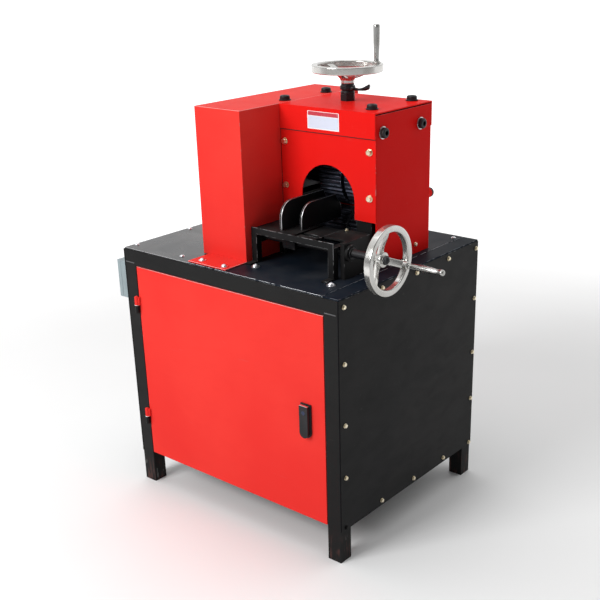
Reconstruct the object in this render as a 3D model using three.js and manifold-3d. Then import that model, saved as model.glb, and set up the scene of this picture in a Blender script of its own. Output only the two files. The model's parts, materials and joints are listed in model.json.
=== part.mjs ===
// A cable stripping machine on a tube-framed cabinet.
// A motor in the cabinet drives belts up to a guarded gear train on the head, which turns the lower
// feed roller and its round blade. The top handwheel sets the height of the upper roller, and the side
// handwheel moves the guide that the cable is fed through.
// Lengths are in millimetres. Inside the machine group x runs right from the cabinet's left side,
// y runs back from its front and z runs up from the floor.

import * as THREE from 'three';
import { mergeVertices } from 'three/addons/utils/BufferGeometryUtils.js';
import Module from 'manifold-3d';

const wasm = await Module();
wasm.setup();

// Fits and cuts that the whole machine shares
const seatGap = 0.3;
const weldDistance = 0.0001;
const runningGap = 0.35;
const overrun = 2;
const pinSides = 10;
const shaftSides = 20;
const knobSides = 16;
const wheelSides = 32;
const boltSides = 6;

// Cabinet: welded square tube with sheet panels screwed on
const cabinetWidth = 720;
const cabinetDepth = 595;
const cabinetHeight = 685;
const tubeSize = 40;
const tubeWall = 2.5;
const lowerRailBottom = 88;
const panelSheet = 2;
const footPlate = 5;
const footHole = 6;
const louvreRows = 5;
const louvreColumns = 2;
const louvreLength = 130;
const louvreHeight = 14;
const louvreReach = 7;
const louvreSheet = 1.6;
const louvrePitch = 30;
const louvreTopDrop = 125;
const louvreSpacing = 300;
const louvreArcSteps = 3;

// Top plates of the cabinet
const leftPlateSheet = 3;
const leftPlateStart = 3;
const leftPlateEndInset = 482;
const basePlateThickness = 4;
const basePlateStartInset = 480;
const basePlateEndInset = 47;
const topPlateInset = 2;

// Door: a folded pan between the front legs
const doorDepth = 20;
const doorSheet = 2;
const doorGap = 2.5;
const doorBottom = 95;
const doorStopThickness = 3;
const doorStopReach = 20;
const doorStopHeight = 60;
const hingeRadius = 6;
const hingePinRadius = 3;
const hingeKnuckle = 22;
const hingeWeld = 5;
const hingeWeldDepth = 1;
const hingeOffset = 1.3;
const lowerHingeRise = 115;
const upperHingeDrop = 105.5;

// Latch on the door: a plate, a lifting handle and a turning tongue
const latchWidth = 32;
const latchHeight = 90;
const latchTop = 409;
const latchEdge = 40;
const latchPlate = 4;
const latchInset = 3;
const latchHandleThickness = 9;
const latchPivotDrop = 4;
const latchSpindleDrop = 16;
const latchSpindleRadius = 6;
const spindleProud = 0.8;
const seatPlay = 1.2;
const latchEarHalf = 3;
const latchPinHalf = 9;
const latchChamfer = 3;
const latchPinRadius = 1.6;
const tongueLength = 52;
const tongueWidth = 14;
const tongueThickness = 4;

// Control box with two push buttons on the left side
const boxDepth = 50;
const boxFront = 25;
const boxWidth = 70;
const boxTopDrop = 48;
const boxHeight = 104;
const boxWall = 3;
const boxCover = 12.4;
const buttonRadius = 10.6;
const buttonHole = 11;
const buttonBezel = 15;
const buttonBezelHeight = 3;
const buttonFlange = 13;
const buttonFlangeThickness = 2;
const buttonTail = 9;
const startButtonReach = 8;
const stopButtonReach = 23;
const mushroomRadius = 18;
const mushroomHeight = 9;
const buttonSpacing = 48;
const buttonTailShare = 0.7;
const startTipShare = 0.9;
const mushroomFaceShare = 0.7;
const mushroomEdgeShare = 0.5;
const mushroomDomeShare = 0.1;

// Head: two side plates joined by a crown
const headCentreInset = 240;
const sidePlateSpan = 230;
const sidePlateThickness = 45;
const headFront = 232;
const headBack = 446;
const crownThickness = 30;
const crownHoleRadius = 24;
const crownSkin = 10;
const windowHalf = 45;
const windowBottomRise = 137;
const headTopRise = 375;
const capSheet = 3;

// Sheet covers of the head
const coverSheet = 3;
const coverRightInset = 63;
const coverLeftInset = 353;
const coverFront = 222;
const coverBack = 456;
const capBandHeight = 59;
const frontCoverBottomRise = 118;
const archCentreInset = 207.5;
const archRadius = 81.5;
const archTopRise = 241;
const archSides = 20;
const coverFlange = 25;
const coverUnderCap = 3;
const sideStandOff = 14;
const rearBossRadius = 12;
const rearBossReach = 16;
const rearBossInset = 14;
const rearBossRise = 144;

// Guard over the belts and gears
const guardSheet = 1.5;
const guardLeftInset = 503;
const guardFront = 82;
const guardBack = 540;
const flangeStartInset = 482;
const flangeReach = 76;

// Socket screws of the head
const screwRadius = 12;
const screwHead = 7;
const screwShank = 8;
const screwSocketRadius = 6.5;
const screwSocketDepth = 4;
const washerRadius = 14;
const washerThickness = 2.5;
const crownScrewPitchX = 269;
const crownScrewPitchY = 162;
const crownScrewDepth = 25;
const sideScrewRise = 328;
const sideScrewY = [252, 406];
const sideScrewBite = 18;

// Rollers and the round blade
const rollerAxisY = 350;
const lowerAxisRise = 60;
const lowerRollerRadius = 50;
const upperRollerRadius = 70;
const rollerGap = 10;
const rollerStartInset = 280;
const rollerEndInset = 132;
const toothDepth = 3;
const lowerTeeth = 28;
const upperTeeth = 36;
const toothLandShare = 0.45;
const shaftRadius = 20;
const shoulderRadius = 28;
const bladeCentreInset = 205;
const bladeThickness = 4;
const bladeReach = 8;
const bladeBevel = 6;
const grooveHalf = 6;
const grooveDepth = 12;
const bearingRadius = 40;
const blockHeight = 80;
const blockInset = 2;
const yokeHalf = 35;
const yokeBottom = 75;
const yokeThickness = 44;
const yokeBossRadius = 22;
const yokeBossHeight = 18;

// Gear train in the guard
const gearModule = 6;
const gearTeeth = 46;
const pinionTeeth = 14;
const meshClearance = 0.4;
const gearWidth = 26;
const gearAddendumShare = 0.85;
const gearDedendumShare = 1.1;
const roundFlankTeeth = 20;
const toothRootShare = 0.64;
const toothPitchShare = 0.46;
const toothTipShare = 0.26;
const jackShaftY = 190;
const jackShaftRadius = 15;
const jackBearingRadius = 31;
const jackBossRadius = 50;
const gearOffset = 1.5;
const slotMargin = 5;

// Belt drive
const jackPulleyRadius = 100;
const motorPulleyRadius = 40;
const pulleyRim = 5;
const beltPulleySides = 24;
const beltCount = 2;
const beltPitch = 15;
const beltTopWidth = 12;
const beltBottomWidth = 7;
const beltHeight = 8;
const beltClearance = 0.5;
const beltFloorClearance = 1.5;
const pulleySideWidth = 10;
const pulleyOffset = 5;
const rimWideningShare = 0.25;
const beltArcSteps = 12;

// Motor on its plate
const motorPlateThickness = 5;
const motorPlateFront = 70;
const motorPlateBack = 320;
const motorShaftHeight = 112;
const motorStartInset = 424;
const motorShaftRadius = 14;
const motorBellLength = 30;
const motorBellRadius = 90;
const statorLength = 200;
const statorRadius = 88;
const finHeight = 10;
const finCount = 16;
const finShare = 0.3;
const fanCoverLength = 74;
const fanCoverRadius = 95;
const fanCoverRound = 12;
const motorFootWidth = 50;
const motorFootSpread = 60;
const motorFootLength = 150;
const motorFootThickness = 14;
const motorWebThickness = 12;
const terminalBoxLength = 100;
const terminalBoxWidth = 90;
const terminalBoxHeight = 42;
const terminalBaseShare = 0.8;
const bellNeckShare = 0.45;
const bellShoulderShare = 0.55;
const bellNeckEndShare = 0.5;
const bellShoulderEndShare = 0.6;
const fanCoverArcShare = 0.3;

// Pressure screw, its nuts and the handwheels
const spindleRadius = 12;
const spindleEnd = 9;
const spindleLowRise = 293;
const spindleNutRadius = 19;
const spindleNutTopRise = 391;
const lockNutRadius = 19;
const lockNutTopRise = 416;
const leverReach = 54;
const leverRadius = 4;
const leverRise = 7;
const leverTurn = 15;
const leverStraightShare = 0.8;
const leverSteps = 6;
const lockSlit = 3;
const wheelHubRadius = 18;
const wheelHubNeck = 15.5;
const wheelHubHeight = 26;
const wheelRimTop = 46;
const wheelRimThickness = 18;
const wheelRimWidth = 15;
const topWheelRadius = 88;
const sideWheelRadius = 82;
const rimOuterChamfer = 2.5;
const rimInnerChamfer = 4.5;
const wheelSpokes = 3;
const spokeSteps = 4;
const spokeWidth = 20;
const spokeThickness = 9;
const gripCircleShare = 0.81;
const gripBossRadius = 10;
const gripBossHeight = 4;
const gripRadius = 6.5;
const gripBore = 3.4;
const gripStud = 3;
const topGripLength = 86;
const sideGripLength = 97;
const endNutRadius = 11;
const endNutHeight = 7;
const hubNeckEndShare = 0.35;
const hubFlareEndShare = 0.7;
const spokeStartShare = 0.5;
const spokeHubShare = 0.62;
const spokeWaistShare = 0.12;
const gripStudShare = 0.8;
const gripBoreShare = 0.86;
const taperedGripShares = [
  [0.92, 0], [0.92, 0.04], [0.86, 0.08], [1, 0.45], [1.19, 0.93], [1.1, 0.98], [0.7, 1],
];
const bulbedGripShares = [
  [1, 0], [1, 0.04], [0.7, 0.08], [1, 0.45], [0.83, 0.82], [1.15, 0.9], [1.15, 0.96], [0.7, 1],
];
const topWheelTurn = 45;
const sideWheelTurn = -22;

// Infeed stand, guide and cross screw
const standLeftInset = 350;
const standRightInset = 92;
const standFront = 100;
const standBack = 220;
const postWidth = 17;
const postDepth = 18;
const standFootReach = 26;
const standFootThickness = 4;
const standTopRise = 83;
const lipTopRise = 94;
const lipHeight = 16;
const lipThickness = 4;
const railHeight = 4.5;
const tableThickness = 6;
const tableSplitInset = 160;
const guideStartInset = 276;
const guideEndInset = 217;
const guideFront = 106;
const guideBack = 215;
const guideThickness = 4;
const finThickness = 6;
const leftFinStartInset = 267;
const rightFinStartInset = 232;
const leftFinFront = 114;
const rightFinFront = 147;
const leftFinTopRise = 165;
const rightFinTopRise = 157;
const finCurve = 40;
const finArcSteps = 6;
const finRollerClearance = 8;
const finTail = 300;
const crossScrewY = 138;
const crossScrewRise = 67;
const crossScrewRadius = 10;
const crossScrewStartInset = 349;
const crossJournal = 8;
const crossJournalLength = 15;
const crossCollarRadius = 14;
const crossCollarWidth = 3;
const endSupportThickness = 6;
const endSupportHalf = 16;
const nutBlockHalf = 18;
const nutBlockDrop = 16;
const nutBlockStartInset = 265;
const nutBlockEndInset = 227;
const guideTravelLeft = 18;
const guideTravelRight = 60;
const neckHalf = 7;
const bracketSplitInset = 152;
const bracketRightInset = 74;
const bracketFront = 140;
const bracketWallFront = 118;
const bracketWall = 12;
const bracketTopRise = 93;
const bracketBossRadius = 20;
const bracketBossReach = 8;

// Places across the machine, measured from the cabinet's right side
const leftPlateEnd = cabinetWidth - leftPlateEndInset;
const basePlateStart = cabinetWidth - basePlateStartInset;
const basePlateEnd = cabinetWidth - basePlateEndInset;
const headCentreX = cabinetWidth - headCentreInset;
const coverRight = cabinetWidth - coverRightInset;
const coverLeft = cabinetWidth - coverLeftInset;
const archCentreX = cabinetWidth - archCentreInset;
const guardLeft = cabinetWidth - guardLeftInset;
const flangeStart = cabinetWidth - flangeStartInset;
const rollerStart = cabinetWidth - rollerStartInset;
const rollerEnd = cabinetWidth - rollerEndInset;
const bladeCentreX = cabinetWidth - bladeCentreInset;
const motorStart = cabinetWidth - motorStartInset;
const standLeft = cabinetWidth - standLeftInset;
const standRight = cabinetWidth - standRightInset;
const tableSplit = cabinetWidth - tableSplitInset;
const guideStart = cabinetWidth - guideStartInset;
const guideEnd = cabinetWidth - guideEndInset;
const leftFinStart = cabinetWidth - leftFinStartInset;
const rightFinStart = cabinetWidth - rightFinStartInset;
const crossScrewStart = cabinetWidth - crossScrewStartInset;
const nutBlockStart = cabinetWidth - nutBlockStartInset;
const nutBlockEnd = cabinetWidth - nutBlockEndInset;
const bracketSplit = cabinetWidth - bracketSplitInset;
const bracketRight = cabinetWidth - bracketRightInset;
const sideWheelStart = cabinetWidth;

// Heights above and below the cabinet's top
const headTop = cabinetHeight + headTopRise;
const windowBottom = cabinetHeight + windowBottomRise;
const lowerAxisZ = cabinetHeight + lowerAxisRise;
const archTop = cabinetHeight + archTopRise;
const frontCoverBottom = cabinetHeight + frontCoverBottomRise;
const spindleLow = cabinetHeight + spindleLowRise;
const spindleNutTop = cabinetHeight + spindleNutTopRise;
const lockNutTop = cabinetHeight + lockNutTopRise;
const standTop = cabinetHeight + standTopRise;
const lipTop = cabinetHeight + lipTopRise;
const leftFinTop = cabinetHeight + leftFinTopRise;
const rightFinTop = cabinetHeight + rightFinTopRise;
const crossScrewZ = cabinetHeight + crossScrewRise;
const bracketTop = cabinetHeight + bracketTopRise;
const louvreTop = cabinetHeight - louvreTopDrop;
const boxTop = cabinetHeight - boxTopDrop;
const sideScrews = sideScrewY.map((y) => [y, cabinetHeight + sideScrewRise]);

// Places that several pieces share
const frameSkin = panelSheet + seatGap;
const frameLeft = frameSkin;
const frameRight = cabinetWidth - frameSkin;
const frameBack = cabinetDepth - frameSkin;
const basePlateTop = cabinetHeight + seatGap + basePlateThickness;
const deckZ = basePlateTop + seatGap;
const capUnder = headTop - capSheet;
const crownTop = capUnder - seatGap;
const crownBottom = crownTop - crownThickness;
const sidePlateTop = crownBottom - seatGap;
const innerLeft = headCentreX - sidePlateSpan / 2;
const innerRight = headCentreX + sidePlateSpan / 2;
const outerLeft = innerLeft - sidePlateThickness;
const outerRight = innerRight + sidePlateThickness;
const upperAxisZ = lowerAxisZ + lowerRollerRadius + rollerGap + upperRollerRadius;
const pinionPitch = gearModule * pinionTeeth / 2;
const gearPitch = gearModule * gearTeeth / 2;
const shaftDistance = pinionPitch + gearPitch + meshClearance;
const jackShaftZ = lowerAxisZ + Math.sqrt(shaftDistance ** 2 - (rollerAxisY - jackShaftY) ** 2);
const gearEnd = outerLeft - gearOffset;
const gearStart = gearEnd - gearWidth;
const pulleyWidth = beltPitch * (beltCount - 1) + 2 * pulleySideWidth;
const pulleyEnd = gearStart - pulleyOffset;
const pulleyStart = pulleyEnd - pulleyWidth;
const motorPlateBottom = lowerRailBottom + tubeSize + seatGap;
const motorPlateTop = motorPlateBottom + motorPlateThickness;
const motorAxisZ = motorPlateTop + seatGap + motorShaftHeight;
const gearTipRadius = gearPitch + gearModule * gearAddendumShare;
const tableTop = standTop + seatGap + tableThickness;
const guideBottom = tableTop + seatGap;
const guideTop = guideBottom + guideThickness;
const lowerAxis = [rollerAxisY, lowerAxisZ];
const upperAxis = [rollerAxisY, upperAxisZ];
const jackAxis = [jackShaftY, jackShaftZ];
const motorAxis = [jackShaftY, motorAxisZ];
const sideGripTip = sideWheelStart + wheelRimTop + gripBossHeight + seatGap + sideGripLength;
const hingeX = frameLeft + tubeSize - hingeOffset;
const hingeY = -hingeRadius - seatGap;
const doorLeft = frameLeft + tubeSize + doorGap;
const doorRight = frameRight - tubeSize - doorGap;
const doorTop = cabinetHeight - tubeSize - doorGap;
const hingeHeights = [doorBottom + lowerHingeRise, doorTop - upperHingeDrop];
const latchX = frameRight - tubeSize - doorGap - latchEdge - latchWidth / 2;
const boxCoverFace = -(seatGap + boxDepth + seatGap + boxCover);

// The origin stands under the middle of the whole machine
const reachLeft = boxCoverFace - stopButtonReach;
const reachFront = -seatGap - latchPlate - seatGap - latchHandleThickness;
const reachBack = cabinetDepth + louvreReach;
const originX = (reachLeft + sideGripTip) / 2;
const originY = (reachFront + reachBack) / 2;

// Finishes as they look in daylight
const finishes = {
  redPaint: { color: 0xd9201f, roughness: 0.38, metalness: 0.0 },
  blackPaint: { color: 0x17181a, roughness: 0.42, metalness: 0.0 },
  blackSteel: { color: 0x1b1c1f, roughness: 0.35, metalness: 0.7 },
  chrome: { color: 0xe4e6e8, roughness: 0.12, metalness: 1.0 },
  steel: { color: 0x9a9c9f, roughness: 0.35, metalness: 1.0 },
  castIron: { color: 0x4d5a60, roughness: 0.6, metalness: 0.4 },
  greyPlastic: { color: 0xb9c4c6, roughness: 0.5, metalness: 0.0 },
  blackPlastic: { color: 0x131416, roughness: 0.45, metalness: 0.0 },
  greenPlastic: { color: 0x1d8a3c, roughness: 0.35, metalness: 0.0 },
  redPlastic: { color: 0xc4161c, roughness: 0.35, metalness: 0.0 },
  rubber: { color: 0x16171a, roughness: 0.85, metalness: 0.0 },
};

// Turn shape coordinates and the extrusion onto the machine's axes
const alongX = new THREE.Matrix4().makeBasis(
  new THREE.Vector3(0, 1, 0),
  new THREE.Vector3(0, 0, 1),
  new THREE.Vector3(1, 0, 0),
);
const alongY = new THREE.Matrix4().makeBasis(
  new THREE.Vector3(0, 0, 1),
  new THREE.Vector3(1, 0, 0),
  new THREE.Vector3(0, 1, 0),
);
const alongZ = new THREE.Matrix4();
const frames = { x: alongX, y: alongY, z: alongZ };

// Keep only merged positions, which is what a closed solid is made of
function bare(geometry) {
  const plain = geometry.index ? geometry.toNonIndexed() : geometry.clone();
  plain.deleteAttribute('normal');
  plain.deleteAttribute('uv');
  return mergeVertices(plain, weldDistance);
}

function toSolid(geometry) {
  const vertProperties = new Float32Array(geometry.attributes.position.array);
  const triVerts = new Uint32Array(geometry.index.array);
  return new wasm.Manifold(new wasm.Mesh({ numProp: 3, vertProperties, triVerts }));
}

function toGeometry(solid) {
  const mesh = solid.getMesh();
  const geometry = new THREE.BufferGeometry();
  geometry.setAttribute('position', new THREE.BufferAttribute(new Float32Array(mesh.vertProperties), 3));
  geometry.setIndex(new THREE.BufferAttribute(new Uint32Array(mesh.triVerts), 1));
  return geometry;
}

function join(...geometries) {
  return toGeometry(geometries.map(toSolid).reduce((whole, part) => whole.add(part)));
}

function cut(body, ...tools) {
  return toGeometry(tools.map(toSolid).reduce((whole, tool) => whole.subtract(tool), toSolid(body)));
}

function block([x0, x1], [y0, y1], [z0, z1]) {
  const box = new THREE.BoxGeometry(x1 - x0, y1 - y0, z1 - z0);
  box.translate((x0 + x1) / 2, (y0 + y1) / 2, (z0 + z1) / 2);
  return bare(box);
}

// A flat outline pushed along an axis: its points are (y, z) for x, (z, x) for y and (x, y) for z
function prism(outline, axis, [start, end], holes = []) {
  const shape = outline instanceof THREE.Shape ? outline : new THREE.Shape(outline);
  shape.holes.push(...holes);
  const solid = new THREE.ExtrudeGeometry(
    shape,
    { depth: end - start, bevelEnabled: false, curveSegments: archSides },
  );
  solid.translate(0, 0, start);
  solid.applyMatrix4(frames[axis]);
  return bare(solid);
}

function ring(radius, sides, [a, b] = [0, 0], turn = 0) {
  const points = [];
  for (let i = 0; i < sides; i += 1) {
    const angle = turn + 2 * Math.PI * i / sides;
    points.push(new THREE.Vector2(a + radius * Math.cos(angle), b + radius * Math.sin(angle)));
  }
  return points;
}

function circleHole(radius, sides, centre) {
  return new THREE.Path(ring(radius, sides, centre));
}

function rod(radius, axis, centre, span, sides = shaftSides) {
  return prism(ring(radius, sides, centre), axis, span);
}

function tubeOf(outer, inner, axis, centre, span, sides = shaftSides) {
  return prism(ring(outer, sides, centre), axis, span, [circleHole(inner, sides, centre)]);
}

// A turned solid: the profile's points are (radius, distance along the axis)
function turned(profile, axis, centre, sides = shaftSides) {
  const points = profile.map(([radius, along]) => new THREE.Vector2(radius, along));
  const lathe = new THREE.LatheGeometry(points, sides);
  lathe.applyMatrix4(new THREE.Matrix4().makeRotationX(Math.PI / 2));
  lathe.translate(centre[0], centre[1], 0);
  lathe.applyMatrix4(frames[axis]);
  return outward(bare(lathe));
}

// Wind the faces the other way round where the profile ran downwards
function outward(geometry) {
  const position = geometry.attributes.position;
  const index = geometry.index.array;
  const corner = [new THREE.Vector3(), new THREE.Vector3(), new THREE.Vector3()];
  let volume = 0;
  for (let i = 0; i < index.length; i += 3) {
    corner.forEach((point, k) => point.fromBufferAttribute(position, index[i + k]));
    volume += corner[0].dot(corner[1].cross(corner[2]));
  }
  if (volume < 0) {
    for (let i = 0; i < index.length; i += 3) {
      [index[i], index[i + 1]] = [index[i + 1], index[i]];
    }
  }
  return geometry;
}

const machine = new THREE.Group();
machine.position.set(-originX, -originY, 0);

function piece(parent, name, geometry, finish) {
  const mesh = new THREE.Mesh(geometry, new THREE.MeshStandardMaterial(finishes[finish]));
  mesh.name = name;
  parent.add(mesh);
  return mesh;
}

// Cabinet

function squareTube([x0, x1], [y0, y1], [z0, z1], open) {
  const outer = block([x0, x1], [y0, y1], [z0, z1]);
  const spans = { x: [x0, x1], y: [y0, y1], z: [z0, z1] };
  const inner = {};
  for (const axis of ['x', 'y', 'z']) {
    const [low, high] = spans[axis];
    const runs = axis === open.axis;
    inner[axis] = runs ? [low - open.before, high + open.after] : [low + tubeWall, high - tubeWall];
  }
  return { outer, inner: block(inner.x, inner.y, inner.z) };
}

function cabinetFrame() {
  const legX = [[frameLeft, frameLeft + tubeSize], [frameRight - tubeSize, frameRight]];
  const legY = [[0, tubeSize], [frameBack - tubeSize, frameBack]];
  const legZ = [0, cabinetHeight];
  const topZ = [cabinetHeight - tubeSize, cabinetHeight];
  const lowZ = [lowerRailBottom, lowerRailBottom + tubeSize];
  const acrossX = [frameLeft + tubeSize, frameRight - tubeSize];
  const acrossY = [tubeSize, frameBack - tubeSize];
  const frontLowY = [
    doorDepth + doorStopThickness + seatGap,
    doorDepth + doorStopThickness + seatGap + tubeSize,
  ];
  const through = tubeWall * 2;
  const rail = { before: through, after: through };
  const tubes = [];
  const drains = [];
  for (const x of legX) {
    for (const y of legY) {
      tubes.push(squareTube(x, y, legZ, { axis: 'z', before: -footPlate, after: -tubeWall }));
      const middle = [(x[0] + x[1]) / 2, (y[0] + y[1]) / 2];
      drains.push(rod(footHole, 'z', middle, [-overrun, footPlate + overrun], pinSides));
    }
  }
  for (const z of [topZ, lowZ]) {
    for (const x of legX) {
      tubes.push(squareTube(x, acrossY, z, { axis: 'y', ...rail }));
    }
    tubes.push(squareTube(acrossX, legY[1], z, { axis: 'x', ...rail }));
  }
  tubes.push(squareTube(acrossX, legY[0], topZ, { axis: 'x', ...rail }));
  tubes.push(squareTube(acrossX, frontLowY, lowZ, { axis: 'x', ...rail }));
  const stopZ = latchTop - latchSpindleDrop;
  const stop = block(
    [frameRight - tubeSize - doorStopReach, frameRight - tubeSize],
    [doorDepth + seatGap, doorDepth + seatGap + doorStopThickness],
    [stopZ - doorStopHeight / 2, stopZ + doorStopHeight / 2],
  );
  const skin = join(...tubes.map((tube) => tube.outer), stop, ...hingeHeights.map(frameKnuckle));
  return cut(skin, ...tubes.map((tube) => tube.inner), ...drains);
}

function sidePanel(x0) {
  return block([x0, x0 + panelSheet], [0, cabinetDepth], [lowerRailBottom, cabinetHeight]);
}

// A pressed hood that rises out of the sheet and is open along its lower edge
function louvreHood(x, z, inset) {
  const reach = louvreReach - inset;
  const height = louvreHeight - inset;
  const root = cabinetDepth - panelSheet - (inset > 0 ? overrun : -seatGap);
  const outline = [new THREE.Vector2(root, z - (inset > 0 ? overrun : 0))];
  for (let i = 0; i <= louvreArcSteps; i += 1) {
    const angle = Math.PI / 2 * i / louvreArcSteps;
    outline.push(new THREE.Vector2(cabinetDepth + reach * Math.cos(angle), z + height * Math.sin(angle)));
  }
  outline.push(new THREE.Vector2(root, z + height));
  if (inset > 0) {
    outline.splice(1, 0, new THREE.Vector2(cabinetDepth + reach, z - overrun));
  }
  const half = louvreLength / 2 - inset;
  return prism(outline, 'x', [x - half, x + half]);
}

function rearPanel() {
  const sheet = block(
    [frameSkin, cabinetWidth - frameSkin],
    [cabinetDepth - panelSheet, cabinetDepth],
    [lowerRailBottom, cabinetHeight],
  );
  const hoods = [];
  const hollows = [];
  for (let column = 0; column < louvreColumns; column += 1) {
    const x = cabinetWidth / 2 + (column - (louvreColumns - 1) / 2) * louvreSpacing;
    for (let row = 0; row < louvreRows; row += 1) {
      const z = louvreTop - row * louvrePitch;
      hoods.push(louvreHood(x, z, 0));
      hollows.push(louvreHood(x, z, louvreSheet));
    }
  }
  return cut(join(sheet, ...hoods), ...hollows);
}

function leftTopPlate() {
  const z = cabinetHeight + seatGap;
  return block(
    [leftPlateStart, leftPlateEnd],
    [topPlateInset, cabinetDepth - topPlateInset],
    [z, z + leftPlateSheet],
  );
}

// Half the length of the slot that a wheel of this radius needs where it dips through the base plate
function dipChord(radius) {
  return Math.sqrt(radius ** 2 - (lowerAxisZ - basePlateTop) ** 2) + slotMargin;
}

// The belts, the large gear and the round blade dip through the base plate
function basePlate() {
  const z = [cabinetHeight + seatGap, basePlateTop];
  const plate = block([basePlateStart, basePlateEnd], [topPlateInset, cabinetDepth - topPlateInset], z);
  const cutZ = [z[0] - overrun, z[1] + overrun];
  const chord = dipChord(gearTipRadius);
  const gearSlot = block(
    [gearStart - slotMargin, gearEnd + slotMargin],
    [rollerAxisY - chord, rollerAxisY + chord],
    cutZ,
  );
  const reach = jackPulleyRadius + slotMargin;
  const beltX = [pulleyStart - slotMargin / 2, pulleyEnd + slotMargin / 2];
  const beltSlot = block(beltX, [jackShaftY - reach, jackShaftY + reach], cutZ);
  const bladeX = [
    bladeCentreX - bladeThickness / 2 - slotMargin,
    bladeCentreX + bladeThickness / 2 + slotMargin,
  ];
  const bladeHalf = dipChord(lowerRollerRadius + bladeReach);
  const bladeSlot = block(bladeX, [rollerAxisY - bladeHalf, rollerAxisY + bladeHalf], cutZ);
  return cut(plate, gearSlot, beltSlot, bladeSlot);
}

function buildCabinet() {
  const cabinet = new THREE.Group();
  machine.add(cabinet);
  piece(cabinet, 'cabinet_frame', cabinetFrame(), 'blackPaint');
  piece(cabinet, 'left_panel', sidePanel(0), 'blackPaint');
  piece(cabinet, 'right_panel', sidePanel(cabinetWidth - panelSheet), 'blackPaint');
  piece(cabinet, 'rear_panel', rearPanel(), 'blackPaint');
  piece(cabinet, 'left_top_plate', leftTopPlate(), 'blackPaint');
  piece(cabinet, 'base_plate', basePlate(), 'blackPaint');
}

// Door, hinges and latch

function doorPan() {
  const pan = block([doorLeft, doorRight], [0, doorDepth], [doorBottom, doorTop]);
  const hollow = block(
    [doorLeft + doorSheet, doorRight - doorSheet],
    [doorSheet, doorDepth + overrun],
    [doorBottom + doorSheet, doorTop - doorSheet],
  );
  const spindleZ = latchTop - latchSpindleDrop;
  const hole = rod(
    latchSpindleRadius + runningGap,
    'y',
    [spindleZ, latchX],
    [-overrun, doorDepth],
    pinSides,
  );
  const hinged = join(cut(pan, hollow, hole), ...hingeHeights.map(doorKnuckle));
  return cut(hinged, ...hingeHeights.map(hingeBore));
}

// Each hinge has a lower knuckle welded to the frame, with its pin, and an upper one welded to the door
function knuckle(span, weldX) {
  const barrel = rod(hingeRadius, 'z', [hingeX, hingeY], span, pinSides);
  return join(barrel, block(weldX, [hingeY, hingeWeldDepth], span));
}

function frameKnuckle(z) {
  const span = [z - hingeKnuckle, z];
  const pin = rod(
    hingePinRadius,
    'z',
    [hingeX, hingeY],
    [z - overrun, z + hingeKnuckle - overrun],
    pinSides,
  );
  return join(knuckle(span, [hingeX - hingeWeld, hingeX]), pin);
}

function doorKnuckle(z) {
  return knuckle([z + seatGap, z + hingeKnuckle], [doorLeft, doorLeft + hingeWeld]);
}

function hingeBore(z) {
  return rod(
    hingePinRadius + runningGap,
    'z',
    [hingeX, hingeY],
    [z - overrun, z + hingeKnuckle + overrun],
    pinSides,
  );
}

// Flat at the top and round at the bottom, in (z, x)
function latchOutline(inset) {
  const half = latchWidth / 2 - inset;
  const top = latchTop - inset;
  const centreZ = latchTop - latchHeight + latchWidth / 2;
  const shape = new THREE.Shape();
  shape.moveTo(top, latchX - half);
  shape.lineTo(top, latchX + half);
  shape.lineTo(centreZ, latchX + half);
  for (let i = 1; i < pinSides; i += 1) {
    const angle = Math.PI * i / pinSides;
    shape.lineTo(centreZ - half * Math.sin(angle), latchX + half * Math.cos(angle));
  }
  shape.lineTo(centreZ, latchX - half);
  return shape;
}

const latchFace = -seatGap - latchPlate;
const latchPivotY = latchFace - seatGap - latchPivotDrop;
const latchPivotZ = latchTop - latchInset - latchPivotDrop;

function latchEscutcheon() {
  const plate = prism(latchOutline(0), 'y', [latchFace, -seatGap]);
  const spindleZ = latchTop - latchSpindleDrop;
  const hole = rod(
    latchSpindleRadius + runningGap,
    'y',
    [spindleZ, latchX],
    [latchFace - overrun, overrun],
    pinSides,
  );
  return cut(plate, hole);
}

// The ear carries the handle, and the tongue behind the door stands upright until the latch is turned
function latchSpindle() {
  const spindleZ = latchTop - latchSpindleDrop;
  const behind = doorDepth + 2 * seatGap + doorStopThickness;
  const earBack = latchFace - seatGap;
  const shaft = rod(
    latchSpindleRadius,
    'y',
    [spindleZ, latchX],
    [earBack - spindleProud, behind + tongueThickness],
    pinSides,
  );
  const earX = [latchX - latchEarHalf, latchX + latchEarHalf];
  const earRadius = latchPivotDrop - seatGap;
  const eye = rod(earRadius, 'x', [latchPivotY, latchPivotZ], earX, pinSides);
  const ear = block(earX, [latchPivotY - earRadius, earBack], [spindleZ - latchEarHalf, latchPivotZ]);
  const pin = rod(
    latchPinRadius,
    'x',
    [latchPivotY, latchPivotZ],
    [latchX - latchPinHalf, latchX + latchPinHalf],
    pinSides,
  );
  const tongue = block(
    [latchX - tongueWidth / 2, latchX + tongueWidth / 2],
    [behind, behind + tongueThickness],
    [spindleZ - tongueWidth / 2, spindleZ - tongueWidth / 2 + tongueLength],
  );
  return join(shaft, eye, ear, pin, tongue);
}

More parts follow.
